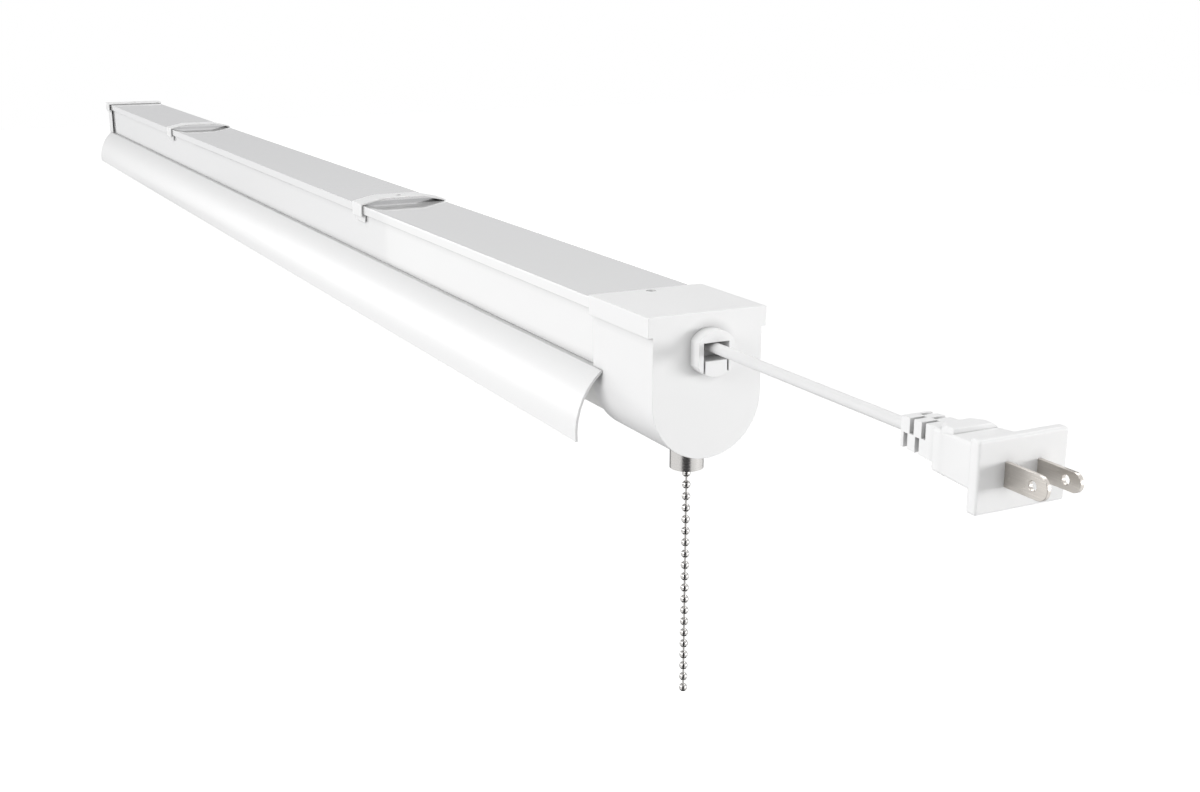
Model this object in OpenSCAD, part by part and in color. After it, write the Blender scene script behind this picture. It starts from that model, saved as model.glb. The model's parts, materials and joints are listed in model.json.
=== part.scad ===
// Slim hanging shop light: a long white housing with a curved reflector on each side, a round
// frosted lens below, two springy hanger clips on top, a power cord with its plug, and a
// pull-chain switch under the end cap where the cord comes out.
// Millimetres. X runs along the light towards the cord, Y across it and Z up. The origin is
// midway between the holes of the two hanger clips, on the clips' top face.

/* [Light] */
// Overall length over both end caps
fixture_l = 1219; // [1000:1:1500]
// Distance between the holes of the two hanger clips
clip_spacing = 536; // [440:1:620]
// How far the middle of the clips lies from the middle of the light, towards the far end
clip_shift = 23; // [0:1:40]
// Clearance between pieces that are fixed together
fit_gap = 0.1; // [0.05:0.01:0.15]
// Clearance between pieces that move past each other
slide_gap = 0.3; // [0.3:0.05:0.5]

/* [Housing] */
// Sheet thickness of the housing channel and of the rail under it
sheet_t = 0.8; // [0.6:0.1:1.1]
// Height of the channel, from its open top to the underside of its floor
housing_h = 28.5; // [26:0.5:34]
// How far each of the cover's side flanges stands out past the caps' body
cover_step = 0.1; // [0:0.05:0.3]
// Sheet thickness of the top cover
cover_t = 0.9; // [0.6:0.1:1.2]
// Height of the cover's side flanges
cover_flange_h = 5.2; // [4:0.1:7]

/* [End caps] */
// Width of the cap's body
cap_w = 51; // [47:0.5:56]
// Height of the cap, from the lid's top to the lowest point of its round underside
cap_h = 61.5; // [59:0.5:70]
// Wall of the cap's sides and underside
cap_wall = 1.8; // [1.4:0.1:2.2]
// Wall of the cap's end face
cap_face_t = 2.4; // [1.8:0.1:3]
// Length of the cap that holds the cord and the switch
near_cap_l = 52.5; // [50:0.5:60]
// Length of the plain cap at the far end
far_cap_l = 17; // [15:0.5:22]
// How far the housing goes into each cap
cap_lap = 12; // [8:0.5:12]
// How far the lid stands out on each side of the cap's body
lid_overhang = 2.1; // [1.5:0.1:3]
// Height of the lid's side lips
lid_h = 8.5; // [8:0.1:10]
// How far the lid's top stands above the cover's top
lid_step = 1.7; // [1.4:0.1:2.6]

/* [Reflectors] */
// Sheet thickness of the reflectors
reflector_t = 1.2; // [0.8:0.1:1.4]
// Outer radius of the reflector's curve
reflector_r = 34.9; // [33:0.1:37]
// How far the reflector's widest point stands out past the caps' body
reflector_out = 13.1; // [11.5:0.1:16.5]
// Height of the reflector, from its flat root to its lower edge
reflector_h = 30; // [28:0.5:31]
// How far the reflector runs past the open end of each cap
reflector_lap = 9; // [4:0.5:10]

/* [Lens and lamp] */
// Wall of the frosted lens
lens_t = 1.4; // [1:0.1:2]
// Width of the lamp board
board_w = 20; // [14:1:24]
// Thickness of the lamp board
board_t = 1.6; // [1:0.1:2]
// Distance from one lamp chip to the next
chip_pitch = 17; // [12:0.5:24]

/* [Hanger clips] */
// Width of the clip along the light
clip_w = 16.7; // [12:0.1:22]
// Thickness of the clip's spring strip
clip_t = 1; // [0.8:0.1:1.2]
// Height of the clip's top face above the cover
clip_rise = 4.1; // [3.8:0.1:6]
// Width of the clip's raised flat
clip_flat_w = 26; // [20:0.5:32]
// Diameter of the hole for the hanging hook
clip_hole_d = 4; // [3:0.1:6]

/* [Cord and plug] */
// Diameter of the cord
cord_d = 4.5; // [3.5:0.1:5]
// Length of cord that shows between the bushing and the plug
cord_free_l = 125; // [120:1:125]
// Depth of the cord's centre below the lid's top
cord_drop = 13.7; // [13:0.1:15]
// Width of the plug's front plate
plate_w = 35; // [32:0.5:38]
// Height of the plug's front plate
plate_h = 23.4; // [20:0.1:26]
// Thickness of the plug's front plate
plate_t = 4.4; // [3.5:0.1:5]
// Distance between the centres of the two blades
blade_spacing = 12.7; // [12:0.1:13.4]
// Thickness of a blade
blade_t = 1.5; // [1.2:0.1:1.7]
// Height of the wide blade
wide_blade_h = 7.9; // [7.4:0.1:8.4]
// Height of the narrow blade
narrow_blade_h = 6.35; // [6:0.05:6.8]
// Length of the blades in front of the plate
blade_l = 18; // [15:0.1:20]

/* [Pull switch] */
// Distance from the cap's end face to the pull chain
switch_inset = 15.8; // [15:0.1:20]
// Diameter of the switch's metal bushing
bushing_d = 14.3; // [12:0.1:16]
// How far the bushing stands below the cap
bushing_h = 8.2; // [7:0.1:10]
// How far the chain can be pulled down
pull_travel = 7; // [5:0.5:8]
// Number of balls on the hanging chain
chain_balls = 20; // [12:1:24]
// Diameter of a ball
ball_d = 3.6; // [3:0.1:4]
// Distance from one ball to the next
ball_pitch = 5.2; // [5:0.1:6]

/* [Hidden] */
$fn = 96;

// Overrun of every cut past the face that it opens
cut = 1;

// Places along the light
near_x = fixture_l / 2 + clip_shift;
far_x = near_x - fixture_l;
near_rim_x = near_x - near_cap_l;
far_rim_x = far_x + far_cap_l;
body_near_x = near_rim_x + cap_lap;
body_far_x = far_rim_x - cap_lap;
body_mid_x = (body_near_x + body_far_x) / 2;

// Widths that follow the cap
housing_w = cap_w - 2 * (cap_wall + fit_gap);
cover_w = cap_w + 2 * cover_step;
lid_w = cap_w + 2 * lid_overhang;
lens_r = housing_w / 2;

// Heights, from the clips' top face down
cover_top_z = -clip_rise;
lid_top_z = cover_top_z + lid_step;
channel_top_z = cover_top_z - cover_t;
floor_z = channel_top_z - housing_h;
cap_axis_z = lid_top_z - cap_h + cap_w / 2;
cap_bottom_z = lid_top_z - cap_h;

// Cap: the shoulder that the housing stops against, and the wider mouth
shoulder = 1;
mouth_lead = 1.1;
mouth_lead_l = 3;

// Cap screws
cap_screw_inset = 4.6;
cap_screw_head_d = 3.8;
cap_screw_head_h = 1;
cap_screw_recess = 1.2;
cap_screw_d = 2.2;
cap_screw_l = 7;
cross_w = 0.6;
cross_depth = 0.6;

// Lip along each top edge of the lens
lip_w = 3.5;
lip_in_y = lens_r - lens_t - lip_w;

// Reflector: the flat root that is clamped under the channel's floor, and the curve's centre
root_step = 1.7;
root_in_y = lip_in_y - root_step;
reflector_axis_y = cap_w / 2 + reflector_out - reflector_r;
reflector_axis_drop = 26.6;
reflector_axis_z = floor_z - reflector_axis_drop;
reflector_tip_z = floor_z - reflector_h;
root_out_y = reflector_axis_y + sqrt(reflector_r * reflector_r - reflector_axis_drop * reflector_axis_drop);
root_overlap_share = 0.3;

// Lens and the rail that carries it
lens_top_z = floor_z - reflector_t - fit_gap;
rail_hook_w = 3.9;
rail_out_y = root_in_y - fit_gap;
rail_hook_z = lens_top_z - lens_t - fit_gap;
rail_end_gap = 4;

// Lamp board, chips and the screws that hold the board
board_end_gap = 10;
board_top_z = floor_z - sheet_t;
chip_size = 3;
chip_h = 0.8;
chip_inset = 8;
board_x0 = body_far_x + board_end_gap;
board_x1 = body_near_x - board_end_gap;
chip_count = floor((board_x1 - board_x0 - 2 * chip_inset) / chip_pitch) + 1;
chip_x0 = body_mid_x - chip_pitch * (chip_count - 1) / 2;
board_screw_steps = 6;
board_screw_y = 6;
board_screw_d = 2.8;
board_screw_head_d = 5;
board_screw_head_h = 1.4;
board_screw_l = 4.4;

// Driver: a case with a lid that stands on the channel's floor, and its circuit board
driver_l = 190;
driver_w = 36;
driver_h = 20;
driver_wall = 1.2;
driver_inset = 40;
driver_x1 = body_near_x - driver_inset;
driver_x0 = driver_x1 - driver_l;
driver_z = floor_z + sheet_t;
driver_post_h = 3;
driver_post_d = 5;
driver_post_inset = 6;
driver_board_t = 1.6;
driver_board_gap = 0.5;
driver_board_z = driver_z + driver_wall + driver_post_h;
wire_hole_d = 6;
// Driver parts: place and length along the board, and width and height, as shares of the board
coil_place_share = 0.42;
coil_size_shares = [0.13, 0.72, 0.6];
capacitor_place_shares = [0.14, 0.24, 0.68];
capacitor_d = 10;
capacitor_l = 20;
heat_plate_place_share = 0.82;
heat_plate_size_shares = [0.12, 0.08, 0.65];

// Strain relief bushing: a head with two flats, and a shank with snap lips through the cap's face
head_d = 19.4;
head_flats = 16.6;
head_l = 6.6;
head_drop = 15.9;
shank_d = 16;
shank_flats = 13.4;
shank_l = 12;
snap_d = 17;
snap_l = 2;
window_w = 11.7;
window_above = 0.3;
wedge_gap = 0.75;
wedge_top_drop = 18.6;
wedge_tooth_gap = 0.1;
wedge_tooth_back = 2;
head_z = lid_top_z - head_drop;
cord_z = lid_top_z - cord_drop;
window_top_z = cord_z + cord_d / 2 + window_above;
wedge_top_z = lid_top_z - wedge_top_drop;

// Cord: the points of its route, from inside the bushing to inside the plug, along X from the
// cap's face, and across and up from the bushing's axis
cord_route = [
    [-12, 0, 0], [-6, 0, 0], [0, 0, 0], [8, 0, 0], [18, 0, 0], [28, 0, 0], [38, 0, 0],
    [48, 0, 0], [58, 0, 0], [68, 0, 0], [78, 0, 0], [88, 0, 0], [98, 0, 0], [108, 0, 0],
    [118, 0, 0], [126, 0, 0], [134, 0, 0]
];
cord_sides = 12;

// Plug: ribbed neck, tapered grip, front plate
neck_l = 19;
neck_w0 = 11.6;
neck_w1 = 13;
neck_h0 = 10.5;
neck_h1 = 12;
neck_bore_d = 5.4;
neck_bore_l = 4;
neck_slot_w = 2.1;
neck_slot_pitch = 3.1;
neck_slot_first = 1.7;
neck_slots = 4;
neck_web = 0.4;
neck_core_w = 8.6;
neck_core_h = 7.6;
grip_l = 27.9;
grip_w0 = 16.8;
grip_w1 = 23.4;
grip_above0 = 6.4;
grip_above1 = 7.6;
grip_below = 7.7;
// Thumb pad: places of its rear edge, widest point and front edge from the neck, and half widths
pad_x = [0.6, 5, 10.6];
pad_y = [5.4, 9];
pad_rise = 0.4;
pad_slope = 1.1;
pad_top = 8.2;
blade_root_l = 8;
blade_hole_d = 3.2;
blade_hole_l = 11.9;
blade_tip_share = 0.5;
neck_x = near_x + head_l + cord_free_l;
grip_x = neck_x + neck_l;
plate_x = grip_x + grip_l;
plug_front_x = plate_x + plate_t;

// Pull switch, from the chain's mouth up
switch_x = near_x - switch_inset;
mouth_z = cap_bottom_z - bushing_h;
nipple_d = 9.6;
nipple_bore_d = 5.2;
mouth_chamfer = 1;
boss_d = 18;
boss_h = 2.4;
boss_top_z = cap_bottom_z + cap_wall + boss_h;
nut_flats = 13;
nut_h = 2.6;
nipple_above_nut = 1.2;
nipple_top_z = boss_top_z + nut_h + nipple_above_nut;
switch_l = 17;
switch_w = 24;
switch_wall = 2;
spring_rest_share = 2;
spring_l = spring_rest_share * pull_travel;
plunger_head_d = 9;
plunger_head_h = 2;
plunger_d = 2.6;
plunger_bore_d = 3.4;
spring_wire_d = 0.7;
spring_turns = 5;
spring_mean_d = 6.4;
spring_sides = 6;
spring_steps = 16;
switch_corner = 2;
cavity_floor_z = nipple_top_z + switch_wall;
cavity_top_z = cavity_floor_z + spring_l + plunger_head_h + slide_gap;
switch_top_z = cavity_top_z + switch_wall;
terminal_l = 5;
terminal_w = 4;
terminal_t = 0.8;
terminal_root = 0.5;
terminal_y = (switch_w + terminal_l) / 2 - terminal_root;
terminal_top_z = switch_top_z - switch_wall + terminal_t;

// Chain: the ball in the mouth is the pivot, and the plunger ends in a cup round the ball above
link_d = 0.9;
link_gap = 0.3;
cup_wall = 0.5;
pivot_z = mouth_z + ball_pitch / 2;
held_ball_z = pivot_z + ball_pitch;

// Clips
clip_tail_l = 3.4;
near_clip_x = clip_spacing / 2;
far_clip_x = -clip_spacing / 2;

// Inner wires: insulation diameter, and the way that each pair takes
wire_d = 1.6;
wire_sides = 8;
wire_pair_y = 3;

enamel = "#f1f2f3";
moulded = "#f5f5f5";
frosted = "#fbfbf8";
nickel = "#b9b2aa";
steel = "#c3c6c8";
green_board = "#2f7a4b";
black_plastic = "#2b2b2d";

// A section drawn across the light, run between two places along it
module along_x(x0, x1) {
    translate([min(x0, x1), 0, 0])
        rotate([90, 0, 90])
            linear_extrude(abs(x1 - x0))
                children();
}

// A box from its lowest corner to its highest corner
module block(low, high) {
    translate(low)
        cube(high - low);
}

// Outline of a bent sheet: the line of one face, and the thickness to the left of it
function unit(v) = v / norm(v);
function left_of(v) = [-v.y, v.x];
function side_of(p, i) = left_of(unit(p[i + 1] - p[i]));
function miter(a, b) = (a + b) / (1 + a * b);
function shifted(p, i, t) =
    i == 0 ? p[0] + t * side_of(p, 0)
    : i == len(p) - 1 ? p[i] + t * side_of(p, i - 1)
    : p[i] + t * miter(side_of(p, i - 1), side_of(p, i));
function sheet_outline(p, t) = concat(p, [for (i = [len(p) - 1 : -1 : 0]) shifted(p, i, t)]);

// The same line on both sides of the light, from the left side over to the right side
function mirrored(p) = concat(p, [for (i = [len(p) - 1 : -1 : 0]) [-p[i].x, p[i].y]]);

// Tube of flat-sided rings along a list of points, turned to X where the way is nearly upright
steep_share = 0.9;
function route_dir(p, i) =
    unit(p[min(i + 1, len(p) - 1)] - p[max(i - 1, 0)]);
function ring(p, i, r, sides) =
    let (d = route_dir(p, i),
         up = abs(d.z) > steep_share ? [1, 0, 0] : [0, 0, 1],
         u = unit(cross(up, d)),
         w = cross(d, u))
    [for (k = [0 : sides - 1]) p[i] + r * (cos(360 * k / sides) * u + sin(360 * k / sides) * w)];
module tube_along(p, d, sides) {
    n = len(p);
    points = [for (i = [0 : n - 1]) each ring(p, i, d / 2, sides)];
    first = [for (k = [sides - 1 : -1 : 0]) k];
    last = [for (k = [0 : sides - 1]) (n - 1) * sides + k];
    walls = [
        for (i = [0 : n - 2])
            for (k = [0 : sides - 1])
                let (a = i * sides + k, b = i * sides + (k + 1) % sides)
                each [[a, b, b + sides], [a, b + sides, a + sides]]
    ];
    polyhedron(points, concat([last, first], walls));
}

// Screw with a low round head and a cross slot, head upwards and its seat at the origin
module screw(head_d, head_h, shank_d, length) {
    difference() {
        union() {
            cylinder(d = head_d, h = head_h);
            translate([0, 0, -length])
                cylinder(d = shank_d, h = length + head_h / 2);
        }
        for (turn = [0, 90])
            translate([0, 0, head_h])
                rotate([0, 0, turn])
                    cube([head_d / 2, cross_w, 2 * cross_depth], center = true);
    }
}

// Round underside with straight sides up to a height
module u_shape(r, top_z) {
    intersection() {
        union() {
            translate([0, cap_axis_z])
                circle(r = r);
            translate([-r, cap_axis_z])
                square([2 * r, cap_h]);
        }
        translate([-r, cap_axis_z - r])
            square([2 * r, top_z - cap_axis_z + r]);
    }
}

// Outer section of a cap: the body and the wider lid on it
module cap_outline() {
    u_shape(cap_w / 2, lid_top_z);
    translate([-lid_w / 2, lid_top_z - lid_h])
        square([lid_w, lid_h]);
}

// Space in a cap: the channel and lens go in below, the cover above
module cap_space(extra) {
    u_shape(cap_w / 2 - cap_wall + extra, cover_top_z);
    side = cover_w / 2 + fit_gap + extra;
    low_z = cover_top_z - cover_flange_h - fit_gap;
    translate([-side, low_z])
        square([2 * side, cover_top_z + fit_gap - low_z]);
}

// Space in front of the shoulder, where only wires and the switch are
module cap_inner_space() {
    u_shape(cap_w / 2 - cap_wall - shoulder, cover_top_z - shoulder);
}

// Cap shell, closed on the side of end_x and open on the side of rim_x
module cap_shell(end_x, rim_x) {
    way = sign(end_x - rim_x);
    stop_x = rim_x + way * cap_lap;
    difference() {
        along_x(rim_x, end_x)
            cap_outline();
        along_x(rim_x - way * cut, stop_x)
            cap_space(0);
        along_x(rim_x - way * cut, rim_x + way * mouth_lead_l)
            cap_space(mouth_lead);
        along_x(stop_x - way * cut, end_x - way * cap_face_t)
            cap_inner_space();
        translate([rim_x + way * cap_screw_inset, 0, lid_top_z - cap_screw_recess])
            cylinder(d = cap_screw_head_d + 2 * slide_gap, h = cap_screw_recess + cut);
        translate([rim_x + way * cap_screw_inset, 0, cover_top_z - cut])
            cylinder(d = cap_screw_d + 2 * fit_gap, h = lid_step + cut);
    }
}

module cord_end_cap() {
    color(moulded)
        difference() {
            union() {
                cap_shell(near_x, near_rim_x);
                intersection() {
                    translate([switch_x, 0, cap_bottom_z])
                        cylinder(d = boss_d, h = cap_wall + boss_h);
                    along_x(near_rim_x, near_x)
                        cap_outline();
                }
            }
            translate([switch_x, 0, cap_bottom_z - cut])
                cylinder(d = nipple_d + 2 * fit_gap, h = cap_wall + boss_h + 2 * cut);
            translate([near_x - cap_face_t - cut, 0, head_z])
                rotate([0, 90, 0])
                    double_d(shank_d + 2 * fit_gap, shank_flats + 2 * fit_gap, cap_face_t + 2 * cut);
        }
}

module far_end_cap() {
    color(moulded)
        cap_shell(far_x, far_rim_x);
}

module cap_screws() {
    color(enamel)
        for (x = [near_rim_x + cap_screw_inset, far_rim_x - cap_screw_inset])
            translate([x, 0, lid_top_z - cap_screw_recess])
                screw(cap_screw_head_d, cap_screw_head_h, cap_screw_d, cap_screw_l);
}

module top_cover() {
    side_y = cover_w / 2;
    low_z = cover_top_z - cover_flange_h;
    color(enamel)
        difference() {
            along_x(body_far_x, body_near_x)
                polygon(sheet_outline([
                    [side_y, low_z], [side_y, cover_top_z], [-side_y, cover_top_z], [-side_y, low_z]
                ], cover_t));
            for (x = [near_rim_x + cap_screw_inset, far_rim_x - cap_screw_inset])
                translate([x, 0, cover_top_z - cover_t - cut])
                    cylinder(d = cap_screw_d + 2 * fit_gap, h = cover_t + 2 * cut);
        }
}

// Channel with a lip along each top edge, turned outwards, that the cover's flanges go over
module housing_channel() {
    side_y = housing_w / 2;
    lip_y = cover_w / 2 - cover_t - fit_gap;
    lip_z = channel_top_z;
    color(enamel)
        difference() {
            along_x(body_far_x, body_near_x)
                polygon(sheet_outline([
                    [-lip_y, lip_z], [sheet_t - side_y, lip_z], [sheet_t - side_y, floor_z + sheet_t],
                    [side_y - sheet_t, floor_z + sheet_t], [side_y - sheet_t, lip_z], [lip_y, lip_z]
                ], -sheet_t));
            board_screw_holes();
            lamp_wire_hole();
        }
}

// Places of the board screws, left out where the driver stands on the floor
function board_screw_x(i) =
    board_x0 + chip_inset / 2 + (board_x1 - board_x0 - chip_inset) * i / board_screw_steps;
module at_board_screws() {
    for (i = [0 : board_screw_steps])
        if (board_screw_x(i) < driver_x0 - driver_wall || board_screw_x(i) > driver_x1 + driver_wall)
            translate([board_screw_x(i), board_screw_y, board_top_z - board_t])
                children();
}
module board_screw_holes() {
    at_board_screws()
        translate([0, 0, -cut])
            cylinder(d = board_screw_d + 2 * fit_gap, h = board_t + 2 * sheet_t + 2 * cut);
}
lamp_wire_x = driver_x0 - driver_inset / 2;
module lamp_wire_hole() {
    translate([lamp_wire_x, 0, board_top_z - board_t - cut])
        cylinder(d = wire_hole_d, h = board_t + 2 * sheet_t + 2 * cut);
}

module lens_rail() {
    hook_y = rail_out_y + rail_hook_w;
    hook_low_z = rail_hook_z - sheet_t;
    color(steel)
        difference() {
            along_x(body_far_x + rail_end_gap, body_near_x - rail_end_gap)
                polygon(sheet_outline([
                    [hook_y, hook_low_z], [rail_out_y - sheet_t, hook_low_z],
                    [rail_out_y - sheet_t, board_top_z], [sheet_t - rail_out_y, board_top_z],
                    [sheet_t - rail_out_y, hook_low_z], [-hook_y, hook_low_z]
                ], -sheet_t));
            board_screw_holes();
            lamp_wire_hole();
        }
}

module led_board() {
    color("white")
        difference() {
            block([board_x0, -board_w / 2, board_top_z - board_t], [board_x1, board_w / 2, board_top_z]);
            board_screw_holes();
            lamp_wire_hole();
        }
}

module led_chips() {
    color("#f6e27a")
        for (x = [chip_x0 : chip_pitch : board_x1 - chip_inset])
            if (abs(x - lamp_wire_x) > wire_hole_d)
                translate([x - chip_size / 2, -chip_size / 2, board_top_z - board_t - chip_h])
                    cube([chip_size, chip_size, chip_h]);
}

module board_screws() {
    color(steel)
        at_board_screws()
            mirror([0, 0, 1])
                screw(board_screw_head_d, board_screw_head_h, board_screw_d, board_screw_l);
}

module lens() {
    color(frosted)
        along_x(body_far_x, body_near_x)
            difference() {
                u_shape(lens_r, lens_top_z);
                u_shape(lens_r - lens_t, lens_top_z - lens_t);
                translate([-lip_in_y, lens_top_z - lens_t - cut])
                    square([2 * lip_in_y, lens_t + 2 * cut]);
            }
}

// One reflector, on the side of the light where Y is positive
module reflector() {
    x0 = far_rim_x - reflector_lap;
    x1 = near_rim_x + reflector_lap;
    difference() {
        along_x(x0, x1) {
            intersection() {
                translate([reflector_axis_y, reflector_axis_z])
                    difference() {
                        circle(r = reflector_r);
                        circle(r = reflector_r - reflector_t);
                    }
                translate([reflector_axis_y, reflector_tip_z])
                    square([reflector_r + cut, reflector_h]);
            }
            translate([root_in_y, floor_z - reflector_t])
                square([root_out_y - root_overlap_share * reflector_t - root_in_y, reflector_t]);
        }
        // clear of the sides of both caps
        for (x = [[x0 - cut, far_rim_x + fit_gap], [near_rim_x - fit_gap, x1 + cut]])
            block([x[0], 0, reflector_tip_z - cut], [x[1], cap_w / 2 + fit_gap, floor_z + cut]);
    }
}
module right_reflector() {
    color(enamel)
        reflector();
}
module left_reflector() {
    color(enamel)
        mirror([0, 1, 0])
            reflector();
}

// Driver case
module driver_case() {
    post_y = driver_w / 2 - driver_post_inset;
    color(steel)
        difference() {
            union() {
                difference() {
                    block(
                        [driver_x0, -driver_w / 2, driver_z],
                        [driver_x1, driver_w / 2, driver_z + driver_h]
                    );
                    block(
                        [driver_x0 + driver_wall, driver_wall - driver_w / 2, driver_z + driver_wall],
                        [driver_x1 - driver_wall, driver_w / 2 - driver_wall, driver_z + driver_h + cut]
                    );
                }
                for (x = [driver_x0 + driver_post_inset, driver_x1 - driver_post_inset])
                    for (y = [-post_y, post_y])
                        translate([x, y, driver_z + driver_wall / 2])
                            cylinder(d = driver_post_d, h = driver_wall / 2 + driver_post_h);
            }
            for (x = [driver_x0, driver_x1])
                translate([x - driver_wall - cut, 0, wire_row_z])
                    rotate([0, 90, 0])
                        cylinder(d = wire_hole_d + wire_pair_y, h = 2 * (driver_wall + cut));
        }
}
wire_row_z = driver_z + driver_h / 2 + wire_d;

module driver_lid() {
    inner_y = driver_w / 2 - driver_wall - fit_gap;
    top_z = driver_z + driver_h;
    color(steel) {
        block([driver_x0, -driver_w / 2, top_z], [driver_x1, driver_w / 2, top_z + driver_wall]);
        difference() {
            block(
                [driver_x0 + driver_wall + fit_gap, -inner_y, top_z - driver_wall],
                [driver_x1 - driver_wall - fit_gap, inner_y, top_z + driver_wall / 2]
            );
            block(
                [driver_x0 + 2 * driver_wall + fit_gap, driver_wall - inner_y, top_z - driver_wall - cut],
                [driver_x1 - 2 * driver_wall - fit_gap, inner_y - driver_wall, top_z]
            );
        }
    }
}

driver_board_l = driver_l - 2 * (driver_wall + driver_board_gap);
driver_board_w = driver_w - 2 * (driver_wall + driver_board_gap);
driver_board_x = driver_x0 + driver_wall + driver_board_gap;
driver_room_h = driver_h - 2 * driver_wall - driver_post_h - driver_board_t;
module driver_board() {
    color(green_board)
        translate([driver_board_x, -driver_board_w / 2, driver_board_z])
            cube([driver_board_l, driver_board_w, driver_board_t]);
}
module driver_parts() {
    top_z = driver_board_z + driver_board_t;
    color(black_plastic) {
        // wound coil in the middle
        translate([
            driver_board_x + coil_place_share * driver_board_l,
            -coil_size_shares.y * driver_board_w / 2,
            top_z
        ])
            cube([
                coil_size_shares.x * driver_board_l,
                coil_size_shares.y * driver_board_w,
                coil_size_shares.z * driver_room_h
            ]);
        // metal plate that cools the power switch
        translate([
            driver_board_x + heat_plate_place_share * driver_board_l,
            -heat_plate_size_shares.y * driver_board_w / 2,
            top_z
        ])
            cube([
                heat_plate_size_shares.x * driver_board_l,
                heat_plate_size_shares.y * driver_board_w,
                heat_plate_size_shares.z * driver_room_h
            ]);
        // capacitors, lying across the board
        for (place = capacitor_place_shares)
            translate([driver_board_x + place * driver_board_l, capacitor_l / 2, top_z + capacitor_d / 2])
                rotate([90, 0, 0])
                    cylinder(d = capacitor_d, h = capacitor_l);
    }
}

// Round bar with two flats, along Z, the flats facing across the light when it lies along X
module double_d(d, flats, length) {
    intersection() {
        cylinder(d = d, h = length);
        translate([-d / 2, -flats / 2, 0])
            cube([d, flats, length]);
    }
}

// The bushing's channel for the cord, open downwards, where the wedge closes it
module bushing_channel(x0, x1) {
    block([x0, -window_w / 2, head_z - head_d], [x1, window_w / 2, window_top_z]);
}

module strain_relief_bushing() {
    color(moulded)
        difference() {
            union() {
                translate([near_x, 0, head_z])
                    rotate([0, 90, 0])
                        double_d(head_d, head_flats, head_l);
                translate([near_x - shank_l, 0, head_z])
                    rotate([0, 90, 0])
                        double_d(shank_d, shank_flats, shank_l + head_l / 2);
                translate([near_x - cap_face_t - fit_gap - snap_l, 0, head_z])
                    rotate([0, 90, 0])
                        double_d(snap_d, shank_flats, snap_l);
            }
            bushing_channel(near_x - shank_l - cut, near_x + head_l + cut);
        }
}

module strain_relief_wedge() {
    side = window_w / 2 - wedge_gap;
    tooth_top_z = cord_z - cord_d / 2 - wedge_tooth_gap;
    color(moulded)
        intersection() {
            union() {
                block([near_x - shank_l, -side, head_z - head_d], [near_x + head_l, side, wedge_top_z]);
                block(
                    [near_x - shank_l, -side, head_z - head_d],
                    [near_x - wedge_tooth_back, side, tooth_top_z]
                );
            }
            union() {
                translate([near_x, 0, head_z])
                    rotate([0, 90, 0])
                        cylinder(d = head_d, h = head_l);
                translate([near_x - shank_l, 0, head_z])
                    rotate([0, 90, 0])
                        cylinder(d = shank_d, h = shank_l + head_l / 2);
            }
        }
}

// Route in the light's own frame
function on_cord(p) = [near_x + p.x, p.y, cord_z + p.z];
module power_cord() {
    color("white")
        tube_along([for (p = cord_route) on_cord(p)], cord_d, cord_sides);
}

// A body with one outline seen from above and another seen from the side
module two_views(plan, profile, half_w, half_h) {
    intersection() {
        translate([0, 0, cord_z - half_h])
            linear_extrude(2 * half_h)
                polygon(plan);
        translate([0, half_w, cord_z])
            rotate([90, 0, 0])
                linear_extrude(2 * half_w)
                    polygon(profile);
    }
}
function taper(x0, x1, h0, h1) = [[x0, -h0], [x1, -h1], [x1, h1], [x0, h0]];

// One slot of the neck: an L cut round one of its long edges, down to the core
module neck_slot(side, up) {
    mirror([0, side < 0 ? 1 : 0, 0])
        mirror([0, 0, up < 0 ? 1 : 0])
            difference() {
                translate([0, neck_web / 2, neck_web / 2])
                    cube([neck_slot_w, neck_w1, neck_h1]);
                translate([-cut, 0, 0])
                    cube([neck_slot_w + 2 * cut, neck_core_w / 2, neck_core_h / 2]);
            }
}

// Ribbed neck: every slot cuts two opposite edges, and the next slot the other two
module plug_neck() {
    difference() {
        two_views(
            taper(neck_x, grip_x, neck_w0 / 2, neck_w1 / 2),
            taper(neck_x, grip_x, neck_h0 / 2, neck_h1 / 2),
            neck_w1, neck_h1
        );
        for (k = [0 : neck_slots - 1])
            for (side = [-1, 1])
                translate([neck_x + neck_slot_first + k * neck_slot_pitch, 0, cord_z])
                    neck_slot(side, k % 2 == 0 ? side : -side);
        translate([neck_x - cut, 0, cord_z])
            rotate([0, 90, 0])
                cylinder(d = neck_bore_d, h = neck_bore_l + cut);
    }
}

// Grip with a raised thumb pad on its top and underside
module plug_grip() {
    two_views(
        taper(grip_x, plate_x, grip_w0 / 2, grip_w1 / 2),
        [
            [grip_x, -grip_below], [plate_x, -grip_below],
            [plate_x, grip_above1], [grip_x, grip_above0]
        ],
        grip_w1, grip_below + grip_above1
    );
    thumb_pad(pad_top);
    mirror([0, 0, 1])
        translate([0, 0, -2 * cord_z])
            thumb_pad(grip_below + pad_rise);
}
// Pad with sloping sides, its flat top a height above the cord's centre
module thumb_pad(top) {
    low = top - pad_slope;
    translate([grip_x, 0, cord_z])
        hull() {
            linear_extrude(low)
                pad_outline(0);
            linear_extrude(top)
                pad_outline(pad_slope);
        }
}
module pad_outline(inset) {
    polygon([
        [pad_x[0] + inset, inset / 2 - pad_y[0]], [pad_x[1] + inset / 2, inset - pad_y[1]],
        [pad_x[2] - inset, inset - pad_y[1]], [pad_x[2] - inset, pad_y[1] - inset],
        [pad_x[1] + inset / 2, pad_y[1] - inset], [pad_x[0] + inset, pad_y[0] - inset / 2]
    ]);
}

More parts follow.
